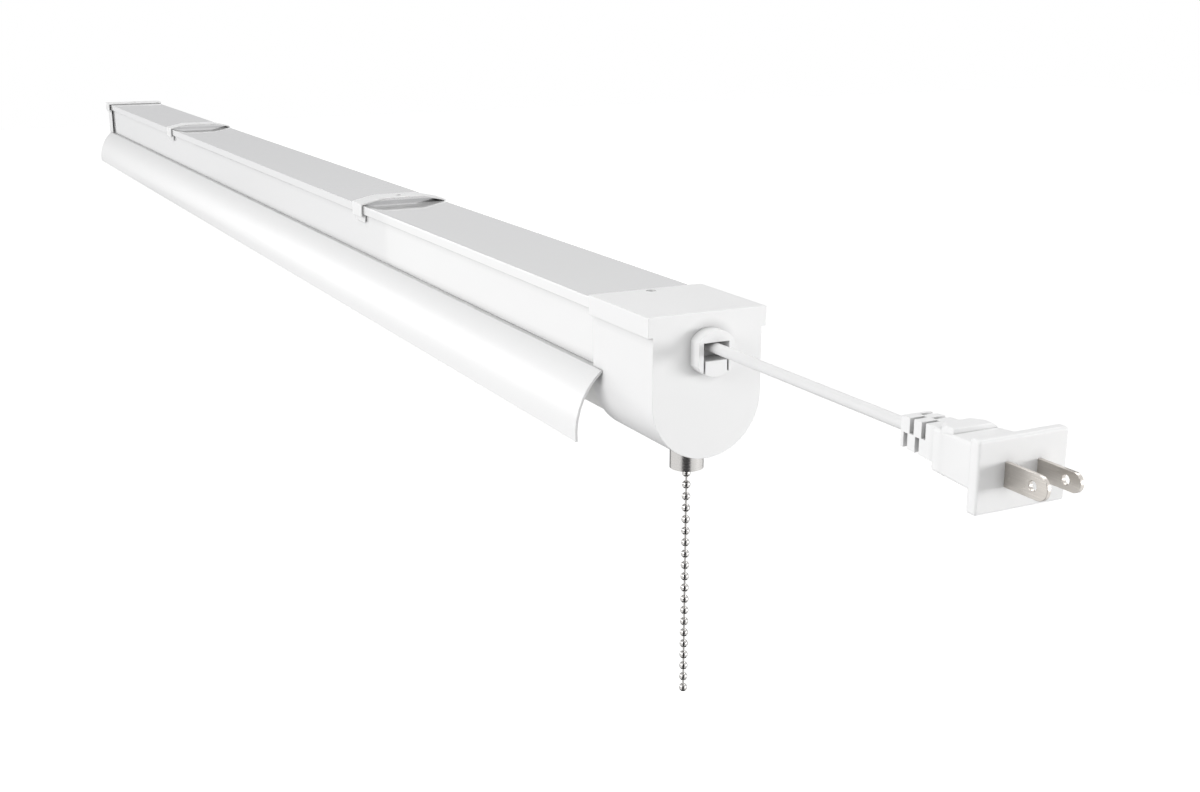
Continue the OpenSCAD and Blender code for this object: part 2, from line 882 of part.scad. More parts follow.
module plug_body() {
    color("white")
        difference() {
            union() {
                plug_neck();
                plug_grip();
                block(
                    [plate_x, -plate_w / 2, cord_z - plate_h / 2],
                    [plug_front_x, plate_w / 2, cord_z + plate_h / 2]
                );
            }
            blade_space(-1, wide_blade_h);
            blade_space(1, narrow_blade_h);
        }
}
module blade_space(side, h) {
    half_t = blade_t / 2 + fit_gap / 2;
    half_h = h / 2 + fit_gap / 2;
    y = side * blade_spacing / 2;
    block(
        [plug_front_x - blade_root_l - fit_gap, y - half_t, cord_z - half_h],
        [plug_front_x + cut, y + half_t, cord_z + half_h]
    );
}

// Flat blade with a rounded tip and its hole
module blade(side, h) {
    tip_r = blade_tip_share * h;
    color(nickel)
        translate([plug_front_x, side * blade_spacing / 2 + blade_t / 2, cord_z])
            rotate([90, 0, 0])
                linear_extrude(blade_t)
                    difference() {
                        union() {
                            translate([-blade_root_l, -h / 2])
                                square([blade_root_l + blade_l - tip_r, h]);
                            translate([blade_l - tip_r, 0])
                                circle(r = tip_r);
                        }
                        translate([blade_hole_l, 0])
                            circle(d = blade_hole_d);
                    }
}
module wide_blade() {
    blade(-1, wide_blade_h);
}
module narrow_blade() {
    blade(1, narrow_blade_h);
}

// Bushing that carries the switch: a smooth bell under the cap, cut to the cap's round
// underside, and a nipple through the cap's wall
module switch_bushing() {
    color(nickel)
        translate([switch_x, 0, 0])
            difference() {
                union() {
                    difference() {
                        translate([0, 0, mouth_z])
                            cylinder(d = bushing_d, h = bushing_h + cap_wall);
                        translate([-bushing_d, 0, cap_axis_z])
                            rotate([0, 90, 0])
                                cylinder(r = cap_w / 2 + fit_gap, h = 2 * bushing_d);
                    }
                    translate([0, 0, mouth_z + bushing_h / 2])
                        cylinder(d = nipple_d, h = nipple_top_z - mouth_z - bushing_h / 2);
                }
                translate([0, 0, mouth_z - cut])
                    cylinder(d = nipple_bore_d, h = nipple_top_z - mouth_z + 2 * cut);
                translate([0, 0, mouth_z])
                    rotate_extrude()
                        polygon([
                            [0, -cut], [nipple_bore_d / 2 + mouth_chamfer + cut, -cut],
                            [nipple_bore_d / 2, mouth_chamfer], [0, mouth_chamfer]
                        ]);
            }
}

module switch_nut() {
    color(nickel)
        translate([switch_x, 0, boss_top_z + fit_gap])
            difference() {
                cylinder(d = nut_flats / cos(30), h = nut_h - fit_gap, $fn = 6);
                translate([0, 0, -cut])
                    cylinder(d = nipple_d + 2 * fit_gap, h = nut_h + 2 * cut);
            }
}

module switch_body() {
    color(black_plastic)
        difference() {
            union() {
                translate([switch_x, 0, nipple_top_z])
                    linear_extrude(switch_top_z - nipple_top_z)
                        rounded_box(switch_l, switch_w, switch_corner);
                for (side = [-1, 1])
                    translate([
                        switch_x - terminal_w / 2,
                        side * terminal_y - terminal_l / 2,
                        terminal_top_z - terminal_t
                    ])
                        cube([terminal_w, terminal_l, terminal_t]);
            }
            translate([switch_x, 0, cavity_floor_z])
                cylinder(d = plunger_head_d + 2 * slide_gap, h = cavity_top_z - cavity_floor_z);
            translate([switch_x, 0, nipple_top_z - cut])
                cylinder(d = plunger_bore_d, h = switch_wall + 2 * cut);
        }
}
module rounded_box(l, w, r) {
    square([l, w - 2 * r], center = true);
    square([l - 2 * r, w], center = true);
    for (x = [r - l / 2, l / 2 - r])
        for (y = [r - w / 2, w / 2 - r])
            translate([x, y])
                circle(r = r);
}

// Return spring between the cavity's floor and the plunger's head
module switch_spring() {
    low = cavity_floor_z + fit_gap + spring_wire_d / 2;
    high = cavity_floor_z + spring_l - fit_gap - spring_wire_d / 2;
    steps = spring_turns * spring_steps;
    color(steel)
        tube_along([
            for (i = [0 : steps])
                let (turn = 360 * i / spring_steps)
                [
                    switch_x + spring_mean_d / 2 * cos(turn),
                    spring_mean_d / 2 * sin(turn),
                    low + (high - low) * i / steps
                ]
        ], spring_wire_d, spring_sides);
}

module switch_plunger() {
    head_low_z = cavity_floor_z + spring_l;
    cup_r = ball_d / 2 + cup_wall;
    cup_low_z = held_ball_z - ball_d / 4;
    cup_bore_h = held_ball_z + ball_d / 2 + fit_gap - cup_low_z;
    color(steel)
        translate([switch_x, 0, 0]) {
            translate([0, 0, head_low_z])
                cylinder(d = plunger_head_d, h = plunger_head_h);
            translate([0, 0, held_ball_z])
                cylinder(d = plunger_d, h = head_low_z - held_ball_z + plunger_head_h / 2);
            difference() {
                translate([0, 0, cup_low_z])
                    cylinder(r = cup_r, h = held_ball_z + cup_r - cup_low_z);
                translate([0, 0, cup_low_z - cut])
                    cylinder(d = ball_d + 2 * fit_gap, h = cup_bore_h + cut);
            }
            // the ball that the cup holds, and the link from it to the pivot ball
            translate([0, 0, held_ball_z])
                sphere(d = ball_d);
            translate([0, 0, pivot_z + ball_d / 2 + link_gap])
                cylinder(d = link_d, h = ball_pitch - ball_d / 2 - link_gap);
        }
}

module chain_pivot_ball() {
    color(nickel)
        translate([switch_x, 0, pivot_z])
            sphere(d = ball_d);
}

module pull_chain() {
    color(nickel)
        translate([switch_x, 0, pivot_z]) {
            for (i = [1 : chain_balls])
                translate([0, 0, -i * ball_pitch])
                    sphere(d = ball_d);
            translate([0, 0, -chain_balls * ball_pitch])
                cylinder(d = link_d, h = chain_balls * ball_pitch - ball_d / 2 - link_gap);
        }
}

// Springy clip: a strip bent over the cover, round its flanges and down the housing's sides
module clip() {
    tail_y = housing_w / 2 + slide_gap;
    leg_y = cover_w / 2 + slide_gap;
    hook_z = cover_top_z - cover_flange_h - slide_gap;
    difference() {
        along_x(-clip_w / 2, clip_w / 2)
            polygon(sheet_outline(mirrored([
                [-tail_y, hook_z - clip_t - clip_tail_l], [-tail_y, hook_z], [-leg_y, hook_z],
                [-leg_y, cover_top_z + slide_gap], [-clip_flat_w / 2, -clip_t]
            ]), clip_t));
        translate([0, 0, -clip_t - cut])
            cylinder(d = clip_hole_d, h = clip_t + 2 * cut);
    }
}
module near_clip() {
    color(enamel)
        translate([near_clip_x, 0, 0])
            clip();
}
module far_clip() {
    color(enamel)
        translate([far_clip_x, 0, 0])
            clip();
}

// Wires: one from the cord to the switch, one from the switch to the driver, and one from the
// cord straight to the driver; then the pair from the driver to the lamps
function into_driver(side) = [
    [switch_x - switch_l, side * wire_pair_y, wire_row_z],
    [driver_x1 + driver_inset / 2, side * wire_pair_y / 2, wire_row_z],
    [driver_x1 - 2 * wire_d, side * wire_pair_y / 2, wire_row_z]
];
function out_of_cord(side) = [
    [near_x - shank_l - fit_gap, side * wire_d, cord_z],
    [near_x - shank_l - 2 * wire_d, side * wire_d, cord_z]
];
function on_terminal(side) = [
    [switch_x, side * terminal_y, (cord_z + terminal_top_z) / 2],
    [switch_x, side * terminal_y, terminal_top_z + fit_gap]
];
module supply_wires() {
    color("black") {
        tube_along(concat(out_of_cord(1), on_terminal(1)), wire_d, wire_sides);
        tube_along(concat([on_terminal(-1)[1], on_terminal(-1)[0]], into_driver(-1)), wire_d, wire_sides);
    }
    color("white")
        tube_along(concat(out_of_cord(-1), into_driver(1)), wire_d, wire_sides);
}
module lamp_wires() {
    low_z = board_top_z - board_t;
    for (side = [-1, 1])
        color(side < 0 ? "black" : "red")
            tube_along([
                [driver_x0 + 2 * wire_d, side * wire_pair_y / 2, wire_row_z],
                [driver_x0 - 2 * wire_d, side * wire_pair_y / 2, wire_row_z],
                [lamp_wire_x + 2 * wire_d, side * wire_d, (wire_row_z + driver_z) / 2],
                [lamp_wire_x, side * wire_d, driver_z + wire_d],
                [lamp_wire_x, side * wire_d, low_z + fit_gap]
            ], wire_d, wire_sides);
}

top_cover();
housing_channel();
lens_rail();
led_board();
led_chips();
lens();
left_reflector();
right_reflector();
cord_end_cap();
far_end_cap();
cap_screws();
board_screws();
driver_case();
driver_lid();
driver_board();
driver_parts();
strain_relief_bushing();
strain_relief_wedge();
power_cord();
plug_body();
wide_blade();
narrow_blade();
supply_wires();
lamp_wires();
switch_body();
switch_bushing();
switch_nut();
switch_spring();
switch_plunger();
chain_pivot_ball();
pull_chain();
near_clip();
far_clip();
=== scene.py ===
"""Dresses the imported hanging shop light: softened sheet and moulded pieces, a ball chain, a ribbed
plug on its cord, and the finish of every surface, under plain soft light."""
import json
import math

import bmesh
import bpy
from bpy.props import FloatProperty, FloatVectorProperty, IntProperty, PointerProperty
from mathutils import Matrix, Vector


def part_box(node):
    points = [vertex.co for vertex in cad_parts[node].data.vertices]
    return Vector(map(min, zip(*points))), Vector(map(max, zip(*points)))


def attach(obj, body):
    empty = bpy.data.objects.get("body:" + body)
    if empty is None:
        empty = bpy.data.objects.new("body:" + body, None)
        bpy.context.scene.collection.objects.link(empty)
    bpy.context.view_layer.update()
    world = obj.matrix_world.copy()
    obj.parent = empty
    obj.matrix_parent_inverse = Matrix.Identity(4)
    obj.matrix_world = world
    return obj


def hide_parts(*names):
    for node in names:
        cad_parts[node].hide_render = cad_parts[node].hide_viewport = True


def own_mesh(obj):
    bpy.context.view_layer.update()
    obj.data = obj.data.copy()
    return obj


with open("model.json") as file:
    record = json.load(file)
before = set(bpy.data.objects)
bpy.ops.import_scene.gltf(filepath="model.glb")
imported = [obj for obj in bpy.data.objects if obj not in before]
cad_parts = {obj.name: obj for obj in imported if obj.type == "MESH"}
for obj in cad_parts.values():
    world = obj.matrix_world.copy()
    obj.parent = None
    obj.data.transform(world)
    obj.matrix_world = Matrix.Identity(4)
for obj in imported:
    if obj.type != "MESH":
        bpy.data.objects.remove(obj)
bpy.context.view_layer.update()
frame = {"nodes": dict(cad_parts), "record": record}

bl_info = {
    "name": "Hanging Shop Light",
    "version": (1, 0, 0),
    "blender": (4, 5, 0),
    "location": "3D View > Sidebar > Shop Light",
    "description": "Dresses a slim hanging shop light with its pull chain, clips, cord and plug",
    "category": "Object",
}

MM = 0.001

# The camera that took the photograph, worked out from the light's straight edges
CAMERA_AZIMUTH = 63.04
CAMERA_ELEVATION = 15.30
CAMERA_LENS = 45.706
CAMERA_SENSOR = 36.0
CAMERA_PLACE = Vector((1144.56, -309.33, 125.87)) * MM
CAMERA_REACH = 60.0

# Angles in degrees: up to which a mesh is shaded smooth, from which an edge is rounded, up to
# which a CAD mesh's triangles are joined as flat, and up to which the six sides of the
# spring's wire are shaded as round
SMOOTH_ANGLE = 35.0
SHARP_ANGLE = 28.0
FLAT_ANGLE = 0.6
WIRE_ANGLE = 70.0

# Distances within which points are merged, in a copy of a CAD mesh and in a new mesh
CAD_MERGE = 0.002 * MM
FINE_MERGE = 0.001 * MM

# Segments of an edge's rounding, from the thin clips to the plug
CLIP_STEPS = 2
EDGE_STEPS = 3
PLUG_STEPS = 5

# Shortest bend along the light that is rounded, and how nearly it has to run along it
BEND_LENGTH = 50 * MM
BEND_ALONG = 0.99

# Longest edge that the source's round holes in the caps are made of
HOLE_EDGE = 1.0 * MM

# Painted shade in the white finishes' colour, darker towards corners and gaps: how far from a
# corner it reaches, also for the reflectors under the housing, and how much of it is mixed in
CORNER_SHADE_REACH = 4.5 * MM
WING_SHADE_REACH = 22 * MM
CORNER_SHADE_SHARE = 0.6
CORNER_SHADE_SAMPLES = 8

# The cord's route from inside the bushing to inside the plug, as in the part's source: along X
# from the cap's end face, and across and up from the cord's line
CORD_ROUTE = [
    (-12, 0, 0), (-6, 0, 0), (0, 0, 0), (8, 0, 0), (18, 0, 0), (28, 0, 0), (38, 0, 0),
    (48, 0, 0), (58, 0, 0), (68, 0, 0), (78, 0, 0), (88, 0, 0), (98, 0, 0), (108, 0, 0),
    (118, 0, 0), (126, 0, 0), (134, 0, 0),
]
CORD_ROUND_STEPS = 6

# The plug's grip in millimetres, as in the part's source: lengths along X, half widths, heights
# above and below the cord's line at the neck and at the plate, and the outline of its thumb pad.
# Neck, grip and plate are drawn a little way into each other, by SINK
NECK_LENGTH = 19.0
PLATE_LENGTH = 4.4
GRIP_HALF_WIDTHS = (8.4, 11.7)
GRIP_ABOVE = (6.4, 7.6)
GRIP_BELOW = 7.7
PAD_OUTLINE = ((0.6, -5.4), (5.0, -9.0), (10.6, -9.0), (10.6, 9.0), (5.0, 9.0), (0.6, 5.4))
PAD_TOP = 8.2
PAD_BOTTOM = 8.1
PAD_SLOPE = 1.1
PAD_SHARP_ANGLE = 20.0
SINK = 0.6

# The ball chain: the number of balls under the pivot ball, and the round links between them,
# which start at a share of a ball's radius from its middle
CHAIN_BALLS = 20
LINK_DIAMETER = 0.9 * MM
LINK_SIDES = 12
LINK_START_SHARE = 0.96

# The balls' rolled holes: their radius as a share of the ball's, the width of their lip as a
# share of its diameter, and how many of these widths the lip is folded inwards
HOLE_SHARE = 0.42
LIP_SHARE = 0.05
LIP_FOLD = 1.6

# Strength of the white surroundings as a light, of the floor's own glow where it is seen, and
# the floor's half width in metres
WORLD_LIGHT = 0.54
FLOOR_LIFT = 0.6
FLOOR_SIZE = 25.0

# Soft lamps: name, place, aim and size in metres, and power in watts
LAMPS = (
    ("side_softbox", (0.8, -1.95, 0.8), (0.5, 0.0, -0.03), (2.2, 0.6), 23.0),
    ("front_softbox", (1.8, 1.4, 0.05), (0.6, 0.0, -0.05), (1.0, 0.4), 15.5),
    ("top_softbox", (-0.4, 1.0, 1.7), (-0.1, 0.0, 0.0), (2.2, 1.2), 17.0),
)

# Middle of the light, the level way from the camera past it, and the way to the left of that
LIGHT_MIDDLE = Vector((0.3, 0.0, -0.03))
VIEW_WAY = Vector((-0.89, 0.45, 0.0))
LEFT_WAY = Vector((0, 0, 1)).cross(VIEW_WAY)

# Cards that the gloss and the metal mirror, with sizes in metres. Behind the light stand a grey
# wall, a paler band of it for the cover's top and a pale pane for the channel's far half: name,
# steps away, to the left and up from the light's middle, size and colour
WALL_CARDS = (
    ("grey_wall", 2.6, 0.0, 0.0, (5.0, 4.4), "#8E8E8F"),
    ("pale_band", 2.5, 0.2, 0.36, (2.2, 0.72), "#CACACB"),
    ("pale_pane", 2.5, 2.0, 0.0, (1.2, 3.0), "#EEEEEF"),
)

# Bright card for the band of light along the reflector that faces the camera
STRIP_PLACE = Vector((-2.1, -1.5, 0.2))
STRIP_SIZE = (1.2, 0.7)
STRIP_TONE = "#FFFFFF"
STRIP_GLOW = 4.5

# Dark room in front of the light, close behind the camera
ROOM_PLACE = CAMERA_PLACE - VIEW_WAY * 0.3 + Vector((-0.04, -0.08, 0.0))
ROOM_SIZE = (1.1, 3.0)
ROOM_TONE = "#3E3E40"

# Dark cards under and behind the chain: name, place from the chain's middle, and size
CHAIN_CARDS = (
    ("dark_mat", Vector((0.0, 0.0, -0.7)), (1.1, 1.1)),
    ("dark_back", VIEW_WAY - Vector((0.0, 0.0, 0.45)), (1.6, 1.0)),
)
CHAIN_TONE = "#1C1D1F"

# Pale board under the light, which only lights it from below
BOARD_PLACE = LIGHT_MIDDLE - Vector((0.0, 0.0, 0.45))
BOARD_SIZE = (1.6, 3.0)
BOARD_TONE = "#DCDCDD"


def linear(code):
    """Linear colour of an sRGB hex code, with full alpha."""
    parts = [int(code[i:i + 2], 16) / 255 for i in (1, 3, 5)]
    return [c / 12.92 if c <= 0.04045 else ((c + 0.055) / 1.055) ** 2.4 for c in parts] + [1.0]


def colour(name, code, description):
    return FloatVectorProperty(name=name, description=description, subtype="COLOR", size=4,
                               min=0.0, max=1.0, default=linear(code))


def length(name, millimetres, description):
    return FloatProperty(name=name, description=description, subtype="DISTANCE", unit="LENGTH",
                         min=0.0, default=millimetres * MM)


class ShopLightSizes(bpy.types.PropertyGroup):
    """Sizes that belong to the looks only."""
    sheet_bend: length("Sheet bend", 0.7, "Rounding of the cover's bends")
    sheet_edge: length("Sheet edge", 0.3, "Rounding of the channel, reflectors and lens")
    cap_edge: length("Cap edge", 0.5, "Rounding of the end caps and the switch body")
    clip_edge: length("Clip edge", 0.22, "Rounding of the hanger clips' edges")
    bushing_edge: length("Bushing edge", 0.7, "Rounding of the strain relief's head")
    plug_edge: length("Plug edge", 1.0, "Rounding of the plug's edges")
    neck_edge: length("Neck edge", 0.3, "Rounding of the neck's ribs and the thumb pads")
    blade_edge: length("Blade edge", 0.2, "Rounding of the blades and the switch nut")
    metal_edge: length("Metal edge", 0.35, "Rounding of the switch bushing's rim")
    ball_steps: IntProperty(name="Ball steps", description="Faces round a ball of the chain",
                            min=12, max=48, default=28)
    floor_drop: length("Floor drop", 2200, "Height of the light's clips above the floor")


class ShopLightColours(bpy.types.PropertyGroup):
    """Colours of the finishes."""
    enamel: colour("Enamel", "#F4F4F4", "White enamel and powder coat on the sheet steel")
    moulded: colour("Moulded", "#F5F5F5", "White moulded end caps and bushing")
    lens: colour("Lens", "#F6F6F3", "Frosted lens")
    cord: colour("Cord", "#EDEDED", "Jacket of the cord")
    plug: colour("Plug", "#F7F7F7", "Body of the plug")
    nickel: colour("Nickel", "#CBC9C7", "Nickel of the switch bushing and the chain")
    blade: colour("Blade", "#D8D3CD", "Nickel of the plug's blades")
    zinc: colour("Zinc", "#C4C7C9", "Zinc plate of the screws, rail and driver case")
    lamp_board: colour("Lamp board", "#F0F0EC", "White solder mask of the lamp board")
    phosphor: colour("Phosphor", "#F3DD7A", "Phosphor over the lamp chips")
    board: colour("Board", "#2C7A49", "Green solder mask of the driver's board")
    wire: colour("Wire", "#3A3B3E", "Insulation of the wires inside")
    nylon: colour("Nylon", "#26272A", "Black nylon of the switch and the driver's parts")
    floor: colour("Floor", "#F2F2F1", "Floor under the light")


def sizes():
    return bpy.context.scene.shop_light_sizes


def colours():
    return bpy.context.scene.shop_light_colours


# Materials

def add_node(tree, kind, inputs=(), **settings):
    """Adds a node with its settings, and fills its sockets with values or links."""
    node = tree.nodes.new(kind)
    for name, value in settings.items():
        setattr(node, name, value)
    for name, value in dict(inputs).items():
        socket = next(s for s in node.inputs if name in (s.identifier, s.name))
        if isinstance(value, bpy.types.NodeSocket):
            tree.links.new(value, socket)
        else:
            socket.default_value = value
    return node


def new_material(name):
    """Empty material and its node tree."""
    material = bpy.data.materials.new(name)
    material.use_nodes = True
    material.node_tree.nodes.clear()
    return material, material.node_tree


def per(millimetres, *stretches):
    """Pattern scale at which one step is a real size, or is stretched along the three axes."""
    scale = 1 / (millimetres * MM)
    return [scale / s for s in stretches] if stretches else scale


def shaded(code, share):
    """Colour darkened evenly to a share of itself."""
    return [c * share for c in code[:3]] + [1.0]


def painted_corner_shade(tree, tone, reach):
    """Tone with painted shade, darker in corners and gaps over a distance from them."""
    corner = add_node(tree, "ShaderNodeAmbientOcclusion", {
        "Color": tone, "Distance": reach,
    }, samples=CORNER_SHADE_SAMPLES)
    mixed = add_node(tree, "ShaderNodeMix", {
        "Factor_Float": CORNER_SHADE_SHARE, "A_Color": tone, "B_Color": corner.outputs["Color"],
    }, data_type="RGBA")
    return mixed.outputs["Result"]


def baked_gloss_enamel():
    # Baked white enamel on sheet steel: a high gloss that mirrors the clips in the cover, with a
    # very shallow orange peel about 3 mm across and no visible grain
    material, tree = new_material("baked_gloss_enamel")
    where = add_node(tree, "ShaderNodeTexCoord").outputs["Object"]
    peel = add_node(tree, "ShaderNodeTexNoise", {"Vector": where, "Scale": per(3), "Detail": 1.0})
    cloud = add_node(tree, "ShaderNodeTexNoise", {"Vector": where, "Scale": per(90)})
    base = colours().enamel[:]
    tone = add_node(tree, "ShaderNodeMix", {
        "Factor_Float": cloud.outputs["Fac"], "A_Color": base, "B_Color": shaded(base, 0.975),
    }, data_type="RGBA")
    gloss = add_node(tree, "ShaderNodeMapRange", {
        "Value": cloud.outputs["Fac"], "To Min": 0.1, "To Max": 0.17,
    })
    relief = add_node(tree, "ShaderNodeBump", {
        "Height": peel.outputs["Fac"], "Distance": 0.006 * MM,
    })
    shader = add_node(tree, "ShaderNodeBsdfPrincipled", {
        # Painted shade: the colour darkens in corners and gaps, where little light reaches
        "Base Color": painted_corner_shade(tree, tone.outputs["Result"], CORNER_SHADE_REACH),
        "Roughness": gloss.outputs["Result"],
        "Normal": relief.outputs["Normal"], "IOR": 1.5, "Coat Weight": 1.0,
        "Coat Roughness": 0.02, "Coat IOR": 1.5,
    })
    add_node(tree, "ShaderNodeOutputMaterial", {"Surface": shader.outputs["BSDF"]})
    return material


def satin_powder_coat():
    # White powder coat on the reflectors and the clips: satin, with a pebbled skin of 1.5 mm
    material, tree = new_material("satin_powder_coat")
    where = add_node(tree, "ShaderNodeTexCoord").outputs["Object"]
    pebble = add_node(tree, "ShaderNodeTexNoise", {"Vector": where, "Scale": per(1.5)})
    cloud = add_node(tree, "ShaderNodeTexNoise", {"Vector": where, "Scale": per(70)})
    base = colours().enamel[:]
    tone = add_node(tree, "ShaderNodeMix", {
        "Factor_Float": cloud.outputs["Fac"], "A_Color": base, "B_Color": shaded(base, 0.98),
    }, data_type="RGBA")
    gloss = add_node(tree, "ShaderNodeMapRange", {
        "Value": pebble.outputs["Fac"], "To Min": 0.3, "To Max": 0.38,
    })
    relief = add_node(tree, "ShaderNodeBump", {
        "Height": pebble.outputs["Fac"], "Distance": 0.02 * MM,
    })
    shader = add_node(tree, "ShaderNodeBsdfPrincipled", {
        # Painted shade: the colour darkens far out from corners and gaps, on the reflectors' roots
        # under the housing and inside the clips
        "Base Color": painted_corner_shade(tree, tone.outputs["Result"], WING_SHADE_REACH),
        "Roughness": gloss.outputs["Result"],
        "Normal": relief.outputs["Normal"], "IOR": 1.5,
    })
    add_node(tree, "ShaderNodeOutputMaterial", {"Surface": shader.outputs["BSDF"]})
    return material


def moulded_abs():
    # White ABS from a spark-eroded mould: satin, with an even fine grain. The grain is drawn
    # 0.8 mm across, because the real one of 0.1 mm is too fine to show
    material, tree = new_material("moulded_abs")
    where = add_node(tree, "ShaderNodeTexCoord").outputs["Object"]
    grain = add_node(tree, "ShaderNodeTexNoise", {"Vector": where, "Scale": per(0.8)})
    flow = add_node(tree, "ShaderNodeTexNoise", {"Vector": where, "Scale": per(30)})
    base = colours().moulded[:]
    tone = add_node(tree, "ShaderNodeMix", {
        "Factor_Float": flow.outputs["Fac"], "A_Color": base, "B_Color": shaded(base, 0.98),
    }, data_type="RGBA")
    gloss = add_node(tree, "ShaderNodeMapRange", {
        "Value": flow.outputs["Fac"], "To Min": 0.31, "To Max": 0.41,
    })
    relief = add_node(tree, "ShaderNodeBump", {
        "Height": grain.outputs["Fac"], "Distance": 0.012 * MM,
    })
    shader = add_node(tree, "ShaderNodeBsdfPrincipled", {
        # Painted shade: the colour darkens in corners and gaps, where little light reaches
        "Base Color": painted_corner_shade(tree, tone.outputs["Result"], CORNER_SHADE_REACH),
        "Roughness": gloss.outputs["Result"],
        "Normal": relief.outputs["Normal"], "IOR": 1.52, "Subsurface Weight": 0.05,
        "Subsurface Scale": 1 * MM, "Subsurface Radius": (1, 1, 1),
    })
    add_node(tree, "ShaderNodeOutputMaterial", {"Surface": shader.outputs["BSDF"]})
    return material


def frosted_polycarbonate():
    # Extruded frosted polycarbonate: milky, lets light wander through its wall, with faint
    # die lines along its length about 1 mm apart
    material, tree = new_material("frosted_polycarbonate")
    where = add_node(tree, "ShaderNodeTexCoord").outputs["Object"]
    along = add_node(tree, "ShaderNodeMapping", {"Vector": where, "Scale": per(1.2, 60, 1, 1)})
    lines = add_node(tree, "ShaderNodeTexNoise", {"Vector": along.outputs["Vector"], "Scale": 1.0})
    base = colours().lens[:]
    tone = add_node(tree, "ShaderNodeMix", {
        "Factor_Float": lines.outputs["Fac"], "A_Color": base, "B_Color": shaded(base, 0.97),
    }, data_type="RGBA")
    gloss = add_node(tree, "ShaderNodeMapRange", {
        "Value": lines.outputs["Fac"], "To Min": 0.4, "To Max": 0.54,
    })
    relief = add_node(tree, "ShaderNodeBump", {
        "Height": lines.outputs["Fac"], "Distance": 0.01 * MM,
    })
    shader = add_node(tree, "ShaderNodeBsdfPrincipled", {
        "Base Color": tone.outputs["Result"], "Roughness": gloss.outputs["Result"],
        "Normal": relief.outputs["Normal"], "IOR": 1.58, "Subsurface Weight": 0.35,
        "Subsurface Scale": 4 * MM, "Subsurface Radius": (1, 1, 1),
    })
    add_node(tree, "ShaderNodeOutputMaterial", {"Surface": shader.outputs["BSDF"]})
    return material


def pvc_jacket():
    # Extruded soft PVC: low gloss, with fine draw lines along the cord and a faint wavy tone
    material, tree = new_material("pvc_jacket")
    where = add_node(tree, "ShaderNodeTexCoord").outputs["Object"]
    along = add_node(tree, "ShaderNodeMapping", {"Vector": where, "Scale": per(0.5, 40, 1, 1)})
    lines = add_node(tree, "ShaderNodeTexNoise", {"Vector": along.outputs["Vector"], "Scale": 1.0})
    wave = add_node(tree, "ShaderNodeTexNoise", {"Vector": where, "Scale": per(12)})
    base = colours().cord[:]
    tone = add_node(tree, "ShaderNodeMix", {
        "Factor_Float": wave.outputs["Fac"], "A_Color": base, "B_Color": shaded(base, 0.95),
    }, data_type="RGBA")
    gloss = add_node(tree, "ShaderNodeMapRange", {
        "Value": lines.outputs["Fac"], "To Min": 0.4, "To Max": 0.56,
    })
    relief = add_node(tree, "ShaderNodeBump", {
        "Height": lines.outputs["Fac"], "Distance": 0.02 * MM,
    })
    shader = add_node(tree, "ShaderNodeBsdfPrincipled", {
        # Painted shade: the colour darkens in corners and gaps, where little light reaches
        "Base Color": painted_corner_shade(tree, tone.outputs["Result"], CORNER_SHADE_REACH),
        "Roughness": gloss.outputs["Result"],
        "Normal": relief.outputs["Normal"], "IOR": 1.53, "Sheen Weight": 0.1,
        "Sheen Roughness": 0.5,
    })
    add_node(tree, "ShaderNodeOutputMaterial", {"Surface": shader.outputs["BSDF"]})
    return material


def moulded_pvc():
    # Soft PVC moulded round the blades: satin, slightly uneven, with a fine matt grain that is
    # drawn 0.7 mm across, because the real one is too fine to show
    material, tree = new_material("moulded_pvc")
    where = add_node(tree, "ShaderNodeTexCoord").outputs["Object"]
    grain = add_node(tree, "ShaderNodeTexNoise", {"Vector": where, "Scale": per(0.7)})
    sink = add_node(tree, "ShaderNodeTexNoise", {"Vector": where, "Scale": per(14)})
    base = colours().plug[:]
    tone = add_node(tree, "ShaderNodeMix", {
        "Factor_Float": sink.outputs["Fac"], "A_Color": base, "B_Color": shaded(base, 0.97),
    }, data_type="RGBA")
    gloss = add_node(tree, "ShaderNodeMapRange", {
        "Value": sink.outputs["Fac"], "To Min": 0.34, "To Max": 0.48,
    })
    relief = add_node(tree, "ShaderNodeBump", {
        "Height": grain.outputs["Fac"], "Distance": 0.018 * MM,
    })
    shader = add_node(tree, "ShaderNodeBsdfPrincipled", {
        # Painted shade: the colour darkens in corners, slots and gaps, where little light reaches
        "Base Color": painted_corner_shade(tree, tone.outputs["Result"], CORNER_SHADE_REACH),
        "Roughness": gloss.outputs["Result"],
        "Normal": relief.outputs["Normal"], "IOR": 1.53, "Subsurface Weight": 0.08,
        "Subsurface Scale": 1 * MM, "Subsurface Radius": (1, 1, 1),
    })
    add_node(tree, "ShaderNodeOutputMaterial", {"Surface": shader.outputs["BSDF"]})
    return material


def polished_nickel():
    # Bright nickel plate on brass: warm grey mirror, a little cloudy where it was polished
    material, tree = new_material("polished_nickel")
    where = add_node(tree, "ShaderNodeTexCoord").outputs["Object"]
    cloud = add_node(tree, "ShaderNodeTexNoise", {"Vector": where, "Scale": per(2.5)})
    base = colours().nickel[:]
    tone = add_node(tree, "ShaderNodeMix", {
        "Factor_Float": cloud.outputs["Fac"], "A_Color": base, "B_Color": shaded(base, 0.9),
    }, data_type="RGBA")
    gloss = add_node(tree, "ShaderNodeMapRange", {
        "Value": cloud.outputs["Fac"], "To Min": 0.07, "To Max": 0.19,
    })
    relief = add_node(tree, "ShaderNodeBump", {
        "Height": cloud.outputs["Fac"], "Distance": 0.004 * MM,
    })
    shader = add_node(tree, "ShaderNodeBsdfPrincipled", {
        "Base Color": tone.outputs["Result"], "Roughness": gloss.outputs["Result"],
        "Normal": relief.outputs["Normal"], "Metallic": 1.0,
    })
    add_node(tree, "ShaderNodeOutputMaterial", {"Surface": shader.outputs["BSDF"]})
    return material


